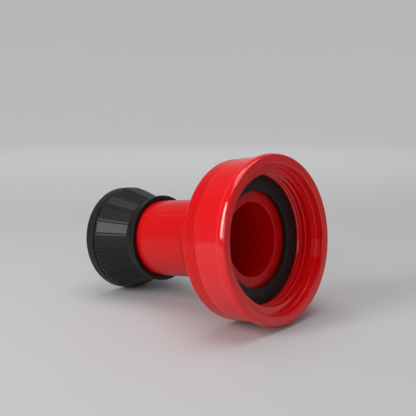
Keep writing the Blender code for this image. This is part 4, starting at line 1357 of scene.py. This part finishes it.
class NOZZLE_OT_inlet(bpy.types.Operator):
    """Builds the threaded inlet coupling and its gasket"""

    bl_idname = "nozzle.inlet"
    bl_label = "Inlet coupling and gasket"

    def execute(self, context):
        build_coupling(context.scene.nozzle_inlet)
        build_gasket(context.scene.nozzle_inlet)
        return {"FINISHED"}


class NOZZLE_OT_body(bpy.types.Operator):
    """Builds the body: flange, hub and barrel"""

    bl_idname = "nozzle.body"
    bl_label = "Body"

    def execute(self, context):
        build_body(context.scene.nozzle_body)
        return {"FINISHED"}


class NOZZLE_OT_tip(bpy.types.Operator):
    """Builds the ribbed turning tip"""

    bl_idname = "nozzle.tip"
    bl_label = "Ribbed tip"

    def execute(self, context):
        build_tip(context.scene.nozzle_tip)
        return {"FINISHED"}


class NOZZLE_OT_bumper(bpy.types.Operator):
    """Builds the rubber ring round the tip's mouth"""

    bl_idname = "nozzle.bumper"
    bl_label = "Bumper"

    def execute(self, context):
        build_bumper(context.scene.nozzle_tip)
        return {"FINISHED"}


class NOZZLE_OT_teeth(bpy.types.Operator):
    """Builds the ring of teeth round the outlet"""

    bl_idname = "nozzle.teeth"
    bl_label = "Fog teeth"

    def execute(self, context):
        build_teeth(context.scene.nozzle_tip)
        return {"FINISHED"}


class NOZZLE_OT_waterway(bpy.types.Operator):
    """Builds the spider, stem, fasteners, seal and baffle in the waterway"""

    bl_idname = "nozzle.waterway"
    bl_label = "Waterway parts"

    def execute(self, context):
        build_spider()
        build_stem()
        build_baffle()
        dress_hidden_nodes()
        return {"FINISHED"}


class NOZZLE_OT_stage(bpy.types.Operator):
    """Builds the floor, the lamps and the camera"""

    bl_idname = "nozzle.stage"
    bl_label = "Stage"

    def execute(self, context):
        build_stage(context.scene.nozzle_studio)
        return {"FINISHED"}


OPERATORS = (
    NOZZLE_OT_inlet, NOZZLE_OT_body, NOZZLE_OT_tip, NOZZLE_OT_bumper, NOZZLE_OT_teeth, NOZZLE_OT_waterway,
    NOZZLE_OT_stage,
)
SETTINGS = {
    "nozzle_inlet": NozzleInlet,
    "nozzle_body": NozzleBody,
    "nozzle_tip": NozzleTip,
    "nozzle_finishes": NozzleFinishes,
    "nozzle_studio": NozzleStudio,
}


class NOZZLE_PT_panel(bpy.types.Panel):
    """Lists the nozzle's pieces and settings in the sidebar"""

    bl_idname = "NOZZLE_PT_panel"
    bl_label = "Fire hose nozzle"
    bl_space_type = "VIEW_3D"
    bl_region_type = "UI"
    bl_category = "Nozzle"

    def draw(self, context):
        column = self.layout.column(align=True)
        for operator in OPERATORS:
            column.operator(operator.bl_idname)
        for name, group in SETTINGS.items():
            box = self.layout.box()
            box.label(text=group.__doc__)
            for label in group.__annotations__:
                box.prop(getattr(context.scene, name), label)


def register():
    """Adds the settings, operators and panel."""
    for made in (*SETTINGS.values(), *OPERATORS, NOZZLE_PT_panel):
        bpy.utils.register_class(made)
    for name, group in SETTINGS.items():
        setattr(bpy.types.Scene, name, PointerProperty(type=group))


def unregister():
    """Takes them away again."""
    for name in SETTINGS:
        delattr(bpy.types.Scene, name)
    for made in (NOZZLE_PT_panel, *reversed(OPERATORS), *reversed(list(SETTINGS.values()))):
        bpy.utils.unregister_class(made)


def main():
    """Builds every piece in order."""
    register()
    for operator in OPERATORS:
        group, name = operator.bl_idname.split(".")
        getattr(getattr(bpy.ops, group), name)()


if __name__ == "__main__":
    main()
